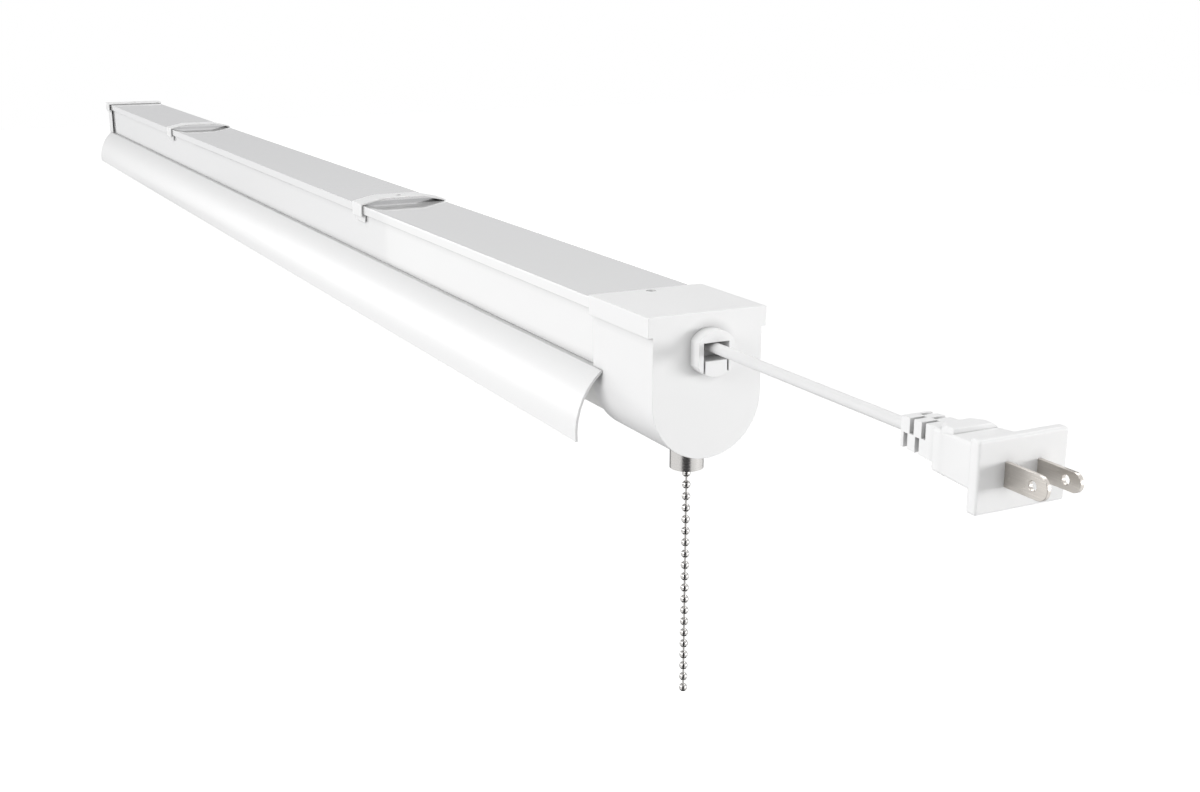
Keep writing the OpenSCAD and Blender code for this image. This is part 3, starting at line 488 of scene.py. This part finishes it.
def turned_nickel():
    # Nickel plate over a turned brass bushing: softer than the balls, because fine turning
    # lines 0.15 mm apart run round it
    material, tree = new_material("turned_nickel")
    where = add_node(tree, "ShaderNodeTexCoord").outputs["Object"]
    rings = add_node(tree, "ShaderNodeMapping", {"Vector": where, "Scale": per(0.15, 60, 60, 1)})
    lines = add_node(tree, "ShaderNodeTexNoise", {"Vector": rings.outputs["Vector"], "Scale": 1.0})
    base = colours().nickel[:]
    tone = add_node(tree, "ShaderNodeMix", {
        "Factor_Float": lines.outputs["Fac"], "A_Color": base, "B_Color": shaded(base, 0.94),
    }, data_type="RGBA")
    gloss = add_node(tree, "ShaderNodeMapRange", {
        "Value": lines.outputs["Fac"], "To Min": 0.22, "To Max": 0.34,
    })
    relief = add_node(tree, "ShaderNodeBump", {
        "Height": lines.outputs["Fac"], "Distance": 0.001 * MM,
    })
    shader = add_node(tree, "ShaderNodeBsdfPrincipled", {
        "Base Color": tone.outputs["Result"], "Roughness": gloss.outputs["Result"],
        "Normal": relief.outputs["Normal"], "Metallic": 1.0,
    })
    add_node(tree, "ShaderNodeOutputMaterial", {"Surface": shader.outputs["BSDF"]})
    return material


def rolled_nickel():
    # Nickel-plated brass strip, rolled and stamped: warm grey, streaked along the blade with
    # lines about 0.3 mm apart
    material, tree = new_material("rolled_nickel")
    where = add_node(tree, "ShaderNodeTexCoord").outputs["Object"]
    along = add_node(tree, "ShaderNodeMapping", {"Vector": where, "Scale": per(0.3, 30, 1, 1)})
    lines = add_node(tree, "ShaderNodeTexNoise", {"Vector": along.outputs["Vector"], "Scale": 1.0})
    base = colours().blade[:]
    tone = add_node(tree, "ShaderNodeMix", {
        "Factor_Float": lines.outputs["Fac"], "A_Color": base, "B_Color": shaded(base, 0.8),
    }, data_type="RGBA")
    gloss = add_node(tree, "ShaderNodeMapRange", {
        "Value": lines.outputs["Fac"], "To Min": 0.22, "To Max": 0.4,
    })
    relief = add_node(tree, "ShaderNodeBump", {
        "Height": lines.outputs["Fac"], "Distance": 0.008 * MM,
    })
    shader = add_node(tree, "ShaderNodeBsdfPrincipled", {
        "Base Color": tone.outputs["Result"], "Roughness": gloss.outputs["Result"],
        "Normal": relief.outputs["Normal"], "Metallic": 1.0,
    })
    add_node(tree, "ShaderNodeOutputMaterial", {"Surface": shader.outputs["BSDF"]})
    return material


def zinc_plate():
    # Zinc-plated steel: cool pale grey with a soft mottled bloom of 6 mm patches
    material, tree = new_material("zinc_plate")
    where = add_node(tree, "ShaderNodeTexCoord").outputs["Object"]
    bloom = add_node(tree, "ShaderNodeTexNoise", {
        "Vector": where, "Scale": per(6), "Detail": 4.0,
    })
    base = colours().zinc[:]
    tone = add_node(tree, "ShaderNodeMix", {
        "Factor_Float": bloom.outputs["Fac"], "A_Color": base, "B_Color": shaded(base, 0.82),
    }, data_type="RGBA")
    gloss = add_node(tree, "ShaderNodeMapRange", {
        "Value": bloom.outputs["Fac"], "To Min": 0.27, "To Max": 0.48,
    })
    relief = add_node(tree, "ShaderNodeBump", {
        "Height": bloom.outputs["Fac"], "Distance": 0.006 * MM,
    })
    shader = add_node(tree, "ShaderNodeBsdfPrincipled", {
        "Base Color": tone.outputs["Result"], "Roughness": gloss.outputs["Result"],
        "Normal": relief.outputs["Normal"], "Metallic": 1.0,
    })
    add_node(tree, "ShaderNodeOutputMaterial", {"Surface": shader.outputs["BSDF"]})
    return material


def solder_mask(name, base):
    # Cured lacquer over a circuit board: smooth, with the weave of the glass cloth under it
    # showing as faint 1 mm squares
    material, tree = new_material(name)
    where = add_node(tree, "ShaderNodeTexCoord").outputs["Object"]
    weave = add_node(tree, "ShaderNodeTexChecker", {"Vector": where, "Scale": per(1)})
    cloud = add_node(tree, "ShaderNodeTexNoise", {"Vector": where, "Scale": per(8)})
    tone = add_node(tree, "ShaderNodeMix", {
        "Factor_Float": cloud.outputs["Fac"], "A_Color": base, "B_Color": shaded(base, 0.85),
    }, data_type="RGBA")
    gloss = add_node(tree, "ShaderNodeMapRange", {
        "Value": cloud.outputs["Fac"], "To Min": 0.33, "To Max": 0.47,
    })
    relief = add_node(tree, "ShaderNodeBump", {
        "Height": weave.outputs["Fac"], "Distance": 0.01 * MM, "Strength": 0.5,
    })
    shader = add_node(tree, "ShaderNodeBsdfPrincipled", {
        "Base Color": tone.outputs["Result"], "Roughness": gloss.outputs["Result"],
        "Normal": relief.outputs["Normal"], "IOR": 1.55, "Coat Weight": 0.3,
        "Coat Roughness": 0.2,
    })
    add_node(tree, "ShaderNodeOutputMaterial", {"Surface": shader.outputs["BSDF"]})
    return material


def phosphor_gel():
    # Silicone gel with yellow phosphor powder in it: slightly grainy and soft to the eye
    material, tree = new_material("phosphor_gel")
    where = add_node(tree, "ShaderNodeTexCoord").outputs["Object"]
    powder = add_node(tree, "ShaderNodeTexNoise", {"Vector": where, "Scale": per(0.3)})
    base = colours().phosphor[:]
    tone = add_node(tree, "ShaderNodeMix", {
        "Factor_Float": powder.outputs["Fac"], "A_Color": base, "B_Color": shaded(base, 0.8),
    }, data_type="RGBA")
    relief = add_node(tree, "ShaderNodeBump", {
        "Height": powder.outputs["Fac"], "Distance": 0.01 * MM,
    })
    shader = add_node(tree, "ShaderNodeBsdfPrincipled", {
        "Base Color": tone.outputs["Result"], "Roughness": 0.3, "IOR": 1.42,
        "Normal": relief.outputs["Normal"], "Subsurface Weight": 0.2,
        "Subsurface Scale": 0.5 * MM,
    })
    add_node(tree, "ShaderNodeOutputMaterial", {"Surface": shader.outputs["BSDF"]})
    return material


def black_nylon():
    # Moulded glass-filled nylon: dark and dull, with a grain of 0.8 mm from the fibres
    material, tree = new_material("black_nylon")
    where = add_node(tree, "ShaderNodeTexCoord").outputs["Object"]
    flow = add_node(tree, "ShaderNodeMapping", {"Vector": where, "Scale": per(0.8, 1, 3, 1)})
    fibres = add_node(tree, "ShaderNodeTexNoise", {"Vector": flow.outputs["Vector"], "Scale": 1.0})
    base = colours().nylon[:]
    tone = add_node(tree, "ShaderNodeMix", {
        "Factor_Float": fibres.outputs["Fac"], "A_Color": base, "B_Color": shaded(base, 0.6),
    }, data_type="RGBA")
    gloss = add_node(tree, "ShaderNodeMapRange", {
        "Value": fibres.outputs["Fac"], "To Min": 0.48, "To Max": 0.64,
    })
    relief = add_node(tree, "ShaderNodeBump", {
        "Height": fibres.outputs["Fac"], "Distance": 0.02 * MM,
    })
    shader = add_node(tree, "ShaderNodeBsdfPrincipled", {
        "Base Color": tone.outputs["Result"], "Roughness": gloss.outputs["Result"],
        "Normal": relief.outputs["Normal"], "IOR": 1.53,
    })
    add_node(tree, "ShaderNodeOutputMaterial", {"Surface": shader.outputs["BSDF"]})
    return material


def wire_insulation():
    # Thin extruded insulation: smooth, with faint lines along the wire
    material, tree = new_material("wire_insulation")
    where = add_node(tree, "ShaderNodeTexCoord").outputs["Object"]
    along = add_node(tree, "ShaderNodeMapping", {"Vector": where, "Scale": per(0.5, 20, 1, 1)})
    lines = add_node(tree, "ShaderNodeTexNoise", {"Vector": along.outputs["Vector"], "Scale": 1.0})
    base = colours().wire[:]
    tone = add_node(tree, "ShaderNodeMix", {
        "Factor_Float": lines.outputs["Fac"], "A_Color": base, "B_Color": shaded(base, 0.8),
    }, data_type="RGBA")
    gloss = add_node(tree, "ShaderNodeMapRange", {
        "Value": lines.outputs["Fac"], "To Min": 0.36, "To Max": 0.52,
    })
    shader = add_node(tree, "ShaderNodeBsdfPrincipled", {
        "Base Color": tone.outputs["Result"], "Roughness": gloss.outputs["Result"], "IOR": 1.53,
    })
    add_node(tree, "ShaderNodeOutputMaterial", {"Surface": shader.outputs["BSDF"]})
    return material


# Pieces

def paint(node, material):
    """Gives a carried-over CAD node its material."""
    for slot in frame["nodes"][node].material_slots:
        slot.material = material


def body_of(node):
    """Name of the body that a CAD node belongs to."""
    bodies = frame["record"]["behaviour"]["bodies"]
    return next(name for name, nodes in bodies.items() if node in nodes)


def middle(node):
    low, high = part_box(node)
    return (Vector(low) + Vector(high)) / 2


def finish_piece(piece, material, node, *stands_for):
    """Dresses a new piece, and makes it ride and stand for its CAD node."""
    piece.data.materials.clear()
    piece.data.materials.append(material)
    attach(piece, body_of(node))
    if stands_for:
        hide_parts(*stands_for)
    return piece


def mesh_piece(name, bm, smooth_angle=SMOOTH_ANGLE):
    """Turns a bmesh into an object, smooth except at its sharp edges."""
    for face in bm.faces:
        face.smooth = True
    for edge in bm.edges:
        edge.smooth = edge.calc_face_angle(0.0) < math.radians(smooth_angle)
    mesh = bpy.data.meshes.new(name)
    bm.to_mesh(mesh)
    bm.free()
    piece = bpy.data.objects.new(name, mesh)
    bpy.context.scene.collection.objects.link(piece)
    return piece


def evenly_shaded(name, bm):
    """Turns a bmesh into an object whose large flat faces stay flat beside its rounded edges."""
    piece = mesh_piece(name, bm)
    weigh = piece.modifiers.new("Even shading", "WEIGHTED_NORMAL")
    weigh.keep_sharp = True
    return piece


def clean_copy(node):
    """Mesh of a CAD node with its loose triangles joined and its flat faces made whole."""
    bm = bmesh.new()
    bm.from_mesh(frame["nodes"][node].data)
    bmesh.ops.remove_doubles(bm, verts=bm.verts, dist=CAD_MERGE)
    bmesh.ops.dissolve_limit(bm, angle_limit=math.radians(FLAT_ANGLE), verts=bm.verts,
                             edges=bm.edges, delimit={"NORMAL"})
    return bm


def any_edge(edge):
    return True


def convex(edge):
    """True for an edge that stands out."""
    return edge.is_convex


def convex_along_x(edge):
    """True for an outer bend that runs along the light."""
    along = (edge.verts[1].co - edge.verts[0].co).normalized()
    return edge.is_convex and abs(along.x) > BEND_ALONG and edge.calc_length() > BEND_LENGTH


def outer_cap_edge(edge):
    """True for the cap's outside edges, but not for the short edges round its holes."""
    return edge.is_convex and edge.calc_length() > HOLE_EDGE


def soften(bm, radius, keep=any_edge, angle=SHARP_ANGLE, segments=EDGE_STEPS):
    """Rounds the sharp edges that keep allows."""
    edges = [
        edge for edge in bm.edges
        if edge.is_manifold and edge.calc_face_angle(0.0) > math.radians(angle) and keep(edge)
    ]
    bmesh.ops.bevel(bm, geom=edges, offset=radius, offset_type="OFFSET", segments=segments,
                    profile=0.5, affect="EDGES", clamp_overlap=True, material=-1)
    bmesh.ops.dissolve_degenerate(bm, dist=FINE_MERGE, edges=bm.edges)


def softened(node, material, radius, keep=any_edge, segments=EDGE_STEPS):
    """New piece that stands for a CAD node, with the node's shape and rounded edges."""
    bm = clean_copy(node)
    soften(bm, radius, keep, segments=segments)
    return finish_piece(evenly_shaded(node + "_finished", bm), material, node, node)


def turned(name, profile, steps, centre):
    """Body turned about Z from a closed or end-to-end profile of (radius, height) points."""
    bm = bmesh.new()
    points = [bm.verts.new((r, 0.0, z)) for r, z in profile]
    edges = [bm.edges.new(pair) for pair in zip(points, points[1:])]
    bmesh.ops.spin(bm, geom=points + edges, cent=(0, 0, 0), axis=(0, 0, 1), angle=math.tau,
                   steps=steps, use_merge=True)
    bmesh.ops.remove_doubles(bm, verts=bm.verts, dist=FINE_MERGE)
    bmesh.ops.recalc_face_normals(bm, faces=bm.faces)
    bmesh.ops.translate(bm, verts=bm.verts, vec=centre)
    return bm


class SHOPLIGHT_OT_camera(bpy.types.Operator):
    """Adds the camera at the photograph's place"""
    bl_idname = "shoplight.camera"
    bl_label = "Camera"

    def execute(self, context):
        data = bpy.data.cameras.new("photo_camera")
        data.sensor_width = CAMERA_SENSOR
        data.lens = CAMERA_LENS
        data.clip_end = CAMERA_REACH
        camera = bpy.data.objects.new("photo_camera", data)
        camera.location = CAMERA_PLACE
        camera.rotation_euler = (
            math.radians(90.0 - CAMERA_ELEVATION), 0.0, math.radians(CAMERA_AZIMUTH)
        )
        context.scene.collection.objects.link(camera)
        context.scene.camera = camera
        return {"FINISHED"}


class SHOPLIGHT_OT_cord(bpy.types.Operator):
    """Adds the power cord, straight from its bushing to the plug"""
    bl_idname = "shoplight.cord"
    bl_label = "Power cord"

    def execute(self, context):
        low, high = (Vector(corner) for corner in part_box("power_cord"))
        diameter = high.z - low.z
        face_x = low.x - CORD_ROUTE[0][0] * MM
        line = Vector((face_x, 0.0, (low.z + high.z) / 2))
        data = bpy.data.curves.new("power_cord_jacket", "CURVE")
        data.dimensions = "3D"
        data.bevel_depth = diameter / 2
        data.bevel_resolution = CORD_ROUND_STEPS
        data.resolution_u = 2
        data.use_fill_caps = True
        spline = data.splines.new("POLY")
        spline.points.add(len(CORD_ROUTE) - 1)
        for point, step in zip(spline.points, CORD_ROUTE):
            point.co = (*(line + Vector(step) * MM), 1.0)
        cord = bpy.data.objects.new("power_cord_jacket", data)
        context.scene.collection.objects.link(cord)
        finish_piece(cord, pvc_jacket(), "power_cord", "power_cord")
        return {"FINISHED"}


class SHOPLIGHT_OT_housing(bpy.types.Operator):
    """Rounds the bends of the cover and the channel, and the edges of both reflectors"""
    bl_idname = "shoplight.housing"
    bl_label = "Housing and reflectors"

    def execute(self, context):
        gloss = baked_gloss_enamel()
        satin = satin_powder_coat()
        size = sizes()
        softened("top_cover", gloss, size.sheet_bend, keep=convex_along_x)
        softened("housing_channel", gloss, size.sheet_edge, keep=convex_along_x)
        softened("left_reflector", satin, size.sheet_edge)
        softened("right_reflector", satin, size.sheet_edge)
        return {"FINISHED"}


class SHOPLIGHT_OT_caps(bpy.types.Operator):
    """Rounds the edges of both end caps, and finishes their screws"""
    bl_idname = "shoplight.caps"
    bl_label = "End caps"

    def execute(self, context):
        plastic = moulded_abs()
        for node in ("cord_end_cap", "far_end_cap"):
            softened(node, plastic, sizes().cap_edge, keep=outer_cap_edge)
        paint("cap_screws", baked_gloss_enamel())
        return {"FINISHED"}


class SHOPLIGHT_OT_clips(bpy.types.Operator):
    """Rounds the edges of both hanger clips"""
    bl_idname = "shoplight.clips"
    bl_label = "Hanger clips"

    def execute(self, context):
        satin = satin_powder_coat()
        for node in ("near_clip", "far_clip"):
            softened(node, satin, sizes().clip_edge, segments=CLIP_STEPS)
        return {"FINISHED"}


class SHOPLIGHT_OT_bushing(bpy.types.Operator):
    """Rounds the strain relief bushing and its wedge"""
    bl_idname = "shoplight.bushing"
    bl_label = "Strain relief"

    def execute(self, context):
        plastic = moulded_abs()
        softened("strain_relief_bushing", plastic, sizes().bushing_edge, keep=convex)
        softened("strain_relief_wedge", plastic, sizes().bushing_edge / 2, keep=convex)
        return {"FINISHED"}


class SHOPLIGHT_OT_plug(bpy.types.Operator):
    """Adds the moulded plug with its ribbed neck, and rounds its two blades"""
    bl_idname = "shoplight.plug"
    bl_label = "Plug"

    def execute(self, context):
        low, high = (Vector(corner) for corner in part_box("plug_body"))
        line_z = (low.z + high.z) / 2
        grip_x = low.x + NECK_LENGTH * MM
        plate_x = high.x - PLATE_LENGTH * MM
        plug = bmesh.new()
        add_copy(plug, neck_mesh(grip_x), Vector())
        add_copy(plug, grip_mesh(plate_x - grip_x), Vector((grip_x, 0, line_z)))
        for height in (PAD_TOP, -PAD_BOTTOM):
            add_copy(plug, pad_mesh(height * MM), Vector((grip_x, 0, line_z)))
        add_copy(plug, plate_mesh(low, high, plate_x), Vector())
        piece = evenly_shaded("plug_body_finished", plug)
        finish_piece(piece, moulded_pvc(), "plug_body", "plug_body")
        metal = rolled_nickel()
        softened("wide_blade", metal, sizes().blade_edge)
        softened("narrow_blade", metal, sizes().blade_edge)
        return {"FINISHED"}


def neck_mesh(grip_x):
    """The ribbed neck, cut from the plug's solid and drawn a little way into the grip."""
    bm = clean_copy("plug_body")
    everything = bm.verts[:] + bm.edges[:] + bm.faces[:]
    cut = bmesh.ops.bisect_plane(bm, geom=everything, plane_co=(grip_x - SINK * MM, 0, 0),
                                 plane_no=(1, 0, 0), clear_outer=True)
    rim = [item for item in cut["geom_cut"] if isinstance(item, bmesh.types.BMEdge)]
    bmesh.ops.holes_fill(bm, edges=rim)
    soften(bm, sizes().neck_edge,
           keep=lambda edge: edge.is_convex and min(v.co.x for v in edge.verts) < grip_x - MM)
    # the cut lies one SINK before the grip, and its points move to one SINK inside it
    end = [vert for vert in bm.verts if vert.co.x > grip_x - 1.5 * SINK * MM]
    bmesh.ops.translate(bm, verts=end, vec=(2 * SINK * MM, 0, 0))
    return bm


def grip_mesh(grip_length):
    """Tapered block between the neck and the plate, with round edges."""
    bm = bmesh.new()
    bmesh.ops.create_cube(bm, size=1.0)
    for vert in bm.verts:
        end = 1 if vert.co.x > 0 else 0
        above = GRIP_ABOVE[end] if vert.co.z > 0 else -GRIP_BELOW
        vert.co.x = grip_length + SINK * MM if end else 0.0
        vert.co.y = math.copysign(GRIP_HALF_WIDTHS[end] * MM, vert.co.y)
        vert.co.z = above * MM
    soften(bm, sizes().plug_edge, segments=PLUG_STEPS)
    return bm


def pad_mesh(height):
    """Thumb pad with sloping sides, up to a height above or below the cord's line."""
    bm = bmesh.new()
    outline = [bm.verts.new((x * MM, y * MM, 0.0)) for x, y in PAD_OUTLINE]
    face = bm.faces.new(outline)
    raised = bmesh.ops.extrude_face_region(bm, geom=[face])["geom"]
    bmesh.ops.translate(bm, vec=(0, 0, height),
                        verts=[item for item in raised if isinstance(item, bmesh.types.BMVert)])
    bmesh.ops.recalc_face_normals(bm, faces=bm.faces)
    top = [
        edge for edge in bm.edges if all(abs(v.co.z - height) < FINE_MERGE for v in edge.verts)
    ]
    bmesh.ops.bevel(bm, geom=top, offset=PAD_SLOPE * MM, offset_type="OFFSET", segments=1,
                    profile=0.5, affect="EDGES", clamp_overlap=True, material=-1)
    soften(bm, sizes().neck_edge, angle=PAD_SHARP_ANGLE)
    return bm


def plate_mesh(low, high, plate_x):
    """Front plate of the plug, with round edges."""
    bm = bmesh.new()
    bmesh.ops.create_cube(bm, size=1.0)
    size = Vector((high.x - plate_x, high.y - low.y, high.z - low.z))
    centre = Vector(((plate_x + high.x) / 2, (low.y + high.y) / 2, (low.z + high.z) / 2))
    bmesh.ops.scale(bm, vec=size, verts=bm.verts)
    bmesh.ops.translate(bm, vec=centre, verts=bm.verts)
    soften(bm, sizes().plug_edge, segments=PLUG_STEPS)
    return bm


class SHOPLIGHT_OT_switch(bpy.types.Operator):
    """Finishes the pull switch with its bushing and return spring"""
    bl_idname = "shoplight.switch"
    bl_label = "Pull switch"

    def execute(self, context):
        nickel = turned_nickel()
        zinc = zinc_plate()
        softened("switch_bushing", nickel, sizes().metal_edge, keep=convex)
        softened("switch_nut", nickel, sizes().blade_edge)
        softened("switch_body", black_nylon(), sizes().cap_edge, keep=convex)
        paint("switch_plunger", zinc)
        add_spring(zinc)
        return {"FINISHED"}


def add_spring(material):
    """Return spring on the cavity's floor, as a piece with a mesh of its own."""
    spring = mesh_piece("switch_spring_finished", clean_copy("switch_spring"), WIRE_ANGLE)
    finish_piece(spring, material, "switch_spring", "switch_spring")
    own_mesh(spring)


class SHOPLIGHT_OT_chain(bpy.types.Operator):
    """Adds the ball chain: hollow balls with rolled holes, on dumb-bell links"""
    bl_idname = "shoplight.chain"
    bl_label = "Ball chain"

    def execute(self, context):
        nickel = polished_nickel()
        pivot_low, pivot_high = (Vector(c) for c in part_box("chain_pivot_ball"))
        chain_low, chain_high = (Vector(c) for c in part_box("pull_chain"))
        ball = pivot_high.z - pivot_low.z
        pivot = (pivot_low + pivot_high) / 2
        last = chain_low.z + ball / 2
        pitch = (pivot.z - last) / CHAIN_BALLS
        bm = ball_mesh(ball, sizes().ball_steps)
        bmesh.ops.translate(bm, verts=bm.verts, vec=pivot)
        finish_piece(mesh_piece("pivot_ball_finished", bm), nickel, "chain_pivot_ball",
                     "chain_pivot_ball")
        chain = bmesh.new()
        for i in range(1, CHAIN_BALLS + 1):
            add_copy(chain, ball_mesh(ball, sizes().ball_steps), pivot - Vector((0, 0, i * pitch)))
        gap = pitch - ball * LINK_START_SHARE
        for i in range(CHAIN_BALLS):
            top = pivot - Vector((0, 0, i * pitch + ball / 2 * LINK_START_SHARE))
            add_copy(chain, link_mesh(gap), top)
        finish_piece(mesh_piece("pull_chain_finished", chain), nickel, "pull_chain", "pull_chain")
        return {"FINISHED"}


def ball_mesh(diameter, steps):
    """Hollow ball with a small rolled lip at each of its two holes."""
    radius = diameter / 2
    hole = math.asin(HOLE_SHARE)
    arcs = steps // 2
    angles = [hole + (math.pi - 2 * hole) * i / arcs for i in range(arcs + 1)]
    profile = [(radius * math.sin(a), radius * math.cos(a)) for a in angles]
    lip = LIP_SHARE * diameter
    top_r, top_z = profile[0]
    fold = top_r - LIP_FOLD * lip
    inner = [(top_r - lip, top_z + lip / 2), (fold, top_z - lip), (0.0, top_z - lip)]
    closing = [(r, -z) for r, z in inner]
    return turned("ball", inner[::-1] + profile + closing, steps, (0, 0, 0))


def link_mesh(gap):
    """Thin round link that joins two balls, from the top down."""
    bm = bmesh.new()
    bmesh.ops.create_cone(bm, cap_ends=True, segments=LINK_SIDES,
                          radius1=LINK_DIAMETER / 2, radius2=LINK_DIAMETER / 2, depth=gap,
                          matrix=Matrix.Translation((0, 0, -gap / 2)))
    return bm


def add_copy(target, source, shift):
    """Adds one small mesh to a larger one at a place, and frees it."""
    bmesh.ops.translate(source, verts=source.verts, vec=shift)
    part = bpy.data.meshes.new("part")
    source.to_mesh(part)
    source.free()
    target.from_mesh(part)
    bpy.data.meshes.remove(part)


class SHOPLIGHT_OT_lamp(bpy.types.Operator):
    """Finishes the frosted lens, the lamp board and the driver"""
    bl_idname = "shoplight.lamp"
    bl_label = "Lens, lamp and driver"

    def execute(self, context):
        softened("lens", frosted_polycarbonate(), sizes().sheet_edge, keep=convex)
        zinc = zinc_plate()
        for node in ("lens_rail", "board_screws", "driver_case", "driver_lid"):
            paint(node, zinc)
        paint("led_board", solder_mask("white_solder_mask", colours().lamp_board[:]))
        paint("led_chips", phosphor_gel())
        paint("driver_board", solder_mask("green_solder_mask", colours().board[:]))
        paint("driver_parts", black_nylon())
        insulation = wire_insulation()
        paint("supply_wires", insulation)
        paint("lamp_wires", insulation)
        return {"FINISHED"}


class SHOPLIGHT_OT_stage(bpy.types.Operator):
    """Adds the pale floor, the soft lamps and the white surroundings"""
    bl_idname = "shoplight.stage"
    bl_label = "Floor and lights"

    def execute(self, context):
        context.scene.view_settings.view_transform = "Standard"
        add_world(context.scene)
        add_floor()
        for lamp in LAMPS:
            add_lamp(*lamp)
        for name, away, left, up, size, code in WALL_CARDS:
            at = LIGHT_MIDDLE + VIEW_WAY * away + LEFT_WAY * left + Vector((0, 0, up))
            add_card(name, at, at - VIEW_WAY, size, code)
        add_card("strip_light", STRIP_PLACE, middle("left_reflector"), STRIP_SIZE, STRIP_TONE,
                 STRIP_GLOW)
        add_card("dark_room", ROOM_PLACE, LIGHT_MIDDLE, ROOM_SIZE, ROOM_TONE)
        chain = middle("pull_chain")
        for name, step, size in CHAIN_CARDS:
            add_card(name, chain + step, chain, size, CHAIN_TONE)
        add_card("bounce_board", BOARD_PLACE, LIGHT_MIDDLE, BOARD_SIZE, BOARD_TONE,
                 for_gloss=False)
        return {"FINISHED"}


def seen_rays(tree):
    """Socket that is 1 for what the camera sees directly, in gloss or through glass."""
    path = add_node(tree, "ShaderNodeLightPath")
    direct = add_node(tree, "ShaderNodeMath", {
        "Value": path.outputs["Is Camera Ray"], "Value_001": path.outputs["Is Glossy Ray"],
    }, operation="MAXIMUM")
    seen = add_node(tree, "ShaderNodeMath", {
        "Value": direct.outputs["Value"], "Value_001": path.outputs["Is Transmission Ray"],
    }, operation="MAXIMUM")
    return seen.outputs["Value"]


def add_world(scene):
    """White surroundings that light the object at a lower strength."""
    world = bpy.data.worlds.new("white_surroundings")
    world.use_nodes = True
    tree = world.node_tree
    tree.nodes.clear()
    strength = add_node(tree, "ShaderNodeMapRange", {
        "Value": seen_rays(tree), "To Min": WORLD_LIGHT, "To Max": 1.0,
    })
    background = add_node(tree, "ShaderNodeBackground", {
        "Color": (1, 1, 1, 1), "Strength": strength.outputs["Result"],
    })
    add_node(tree, "ShaderNodeOutputWorld", {"Surface": background.outputs["Background"]})
    scene.world = world


def add_floor():
    """Pale floor far under the light, lifted to white where the camera or a gloss sees it."""
    material, tree = new_material("pale_floor")
    where = add_node(tree, "ShaderNodeTexCoord").outputs["Object"]
    wear = add_node(tree, "ShaderNodeTexNoise", {"Vector": where, "Scale": per(400)})
    base = colours().floor[:]
    tone = add_node(tree, "ShaderNodeMix", {
        "Factor_Float": wear.outputs["Fac"], "A_Color": base, "B_Color": shaded(base, 0.98),
    }, data_type="RGBA")
    lift = add_node(tree, "ShaderNodeMapRange", {
        "Value": seen_rays(tree), "To Min": 0.0, "To Max": FLOOR_LIFT,
    })
    shader = add_node(tree, "ShaderNodeBsdfPrincipled", {
        "Base Color": tone.outputs["Result"], "Roughness": 0.7,
        "Emission Color": (1, 1, 1, 1), "Emission Strength": lift.outputs["Result"],
    })
    add_node(tree, "ShaderNodeOutputMaterial", {"Surface": shader.outputs["BSDF"]})
    bm = bmesh.new()
    bmesh.ops.create_grid(bm, x_segments=1, y_segments=1, size=FLOOR_SIZE,
                          matrix=Matrix.Translation((0, 0, -sizes().floor_drop)))
    floor = mesh_piece("floor", bm)
    floor.data.materials.append(material)


def add_card(name, at, towards, size, code, strength=1.0, for_gloss=True):
    """Flat card that only gloss and polished metal see, or that only lights from below."""
    material, tree = new_material(name)
    shader = add_node(tree, "ShaderNodeEmission", {"Color": linear(code), "Strength": strength})
    add_node(tree, "ShaderNodeOutputMaterial", {"Surface": shader.outputs["Emission"]})
    turn = (Vector(towards) - Vector(at)).to_track_quat("Z", "Y").to_matrix().to_4x4()
    bm = bmesh.new()
    bmesh.ops.create_grid(bm, x_segments=1, y_segments=1, size=0.5,
                          matrix=Matrix.Translation(at) @ turn @ Matrix.Diagonal((*size, 1, 1)))
    card = mesh_piece(name, bm)
    card.data.materials.append(material)
    card.visible_camera = False
    card.visible_glossy = for_gloss
    card.visible_diffuse = not for_gloss
    card.visible_shadow = False


def add_lamp(name, at, towards, size, power):
    """Soft rectangular lamp."""
    data = bpy.data.lights.new(name, "AREA")
    data.shape = "RECTANGLE"
    data.size, data.size_y = size
    data.energy = power
    lamp = bpy.data.objects.new(name, data)
    lamp.location = at
    lamp.rotation_euler = (Vector(at) - Vector(towards)).to_track_quat("Z", "Y").to_euler()
    bpy.context.scene.collection.objects.link(lamp)


STEPS = (
    SHOPLIGHT_OT_camera,
    SHOPLIGHT_OT_cord,
    SHOPLIGHT_OT_housing,
    SHOPLIGHT_OT_caps,
    SHOPLIGHT_OT_clips,
    SHOPLIGHT_OT_bushing,
    SHOPLIGHT_OT_plug,
    SHOPLIGHT_OT_switch,
    SHOPLIGHT_OT_chain,
    SHOPLIGHT_OT_lamp,
    SHOPLIGHT_OT_stage,
)


class SHOPLIGHT_PT_panel(bpy.types.Panel):
    """Lists the pieces of the shop light"""
    bl_label = "Shop Light"
    bl_idname = "SHOPLIGHT_PT_panel"
    bl_space_type = "VIEW_3D"
    bl_region_type = "UI"
    bl_category = "Shop Light"

    def draw(self, context):
        for step in STEPS:
            self.layout.operator(step.bl_idname)
        for group in (sizes(), colours()):
            for name in group.__annotations__:
                self.layout.prop(group, name)


CLASSES = (ShopLightSizes, ShopLightColours, *STEPS, SHOPLIGHT_PT_panel)


def register():
    for cls in CLASSES:
        bpy.utils.register_class(cls)
    bpy.types.Scene.shop_light_sizes = PointerProperty(type=ShopLightSizes)
    bpy.types.Scene.shop_light_colours = PointerProperty(type=ShopLightColours)


def unregister():
    del bpy.types.Scene.shop_light_colours
    del bpy.types.Scene.shop_light_sizes
    for cls in reversed(CLASSES):
        bpy.utils.unregister_class(cls)


def main():
    register()
    for step in STEPS:
        area, name = step.bl_idname.split(".")
        getattr(getattr(bpy.ops, area), name)()


if __name__ == "__main__":
    main()
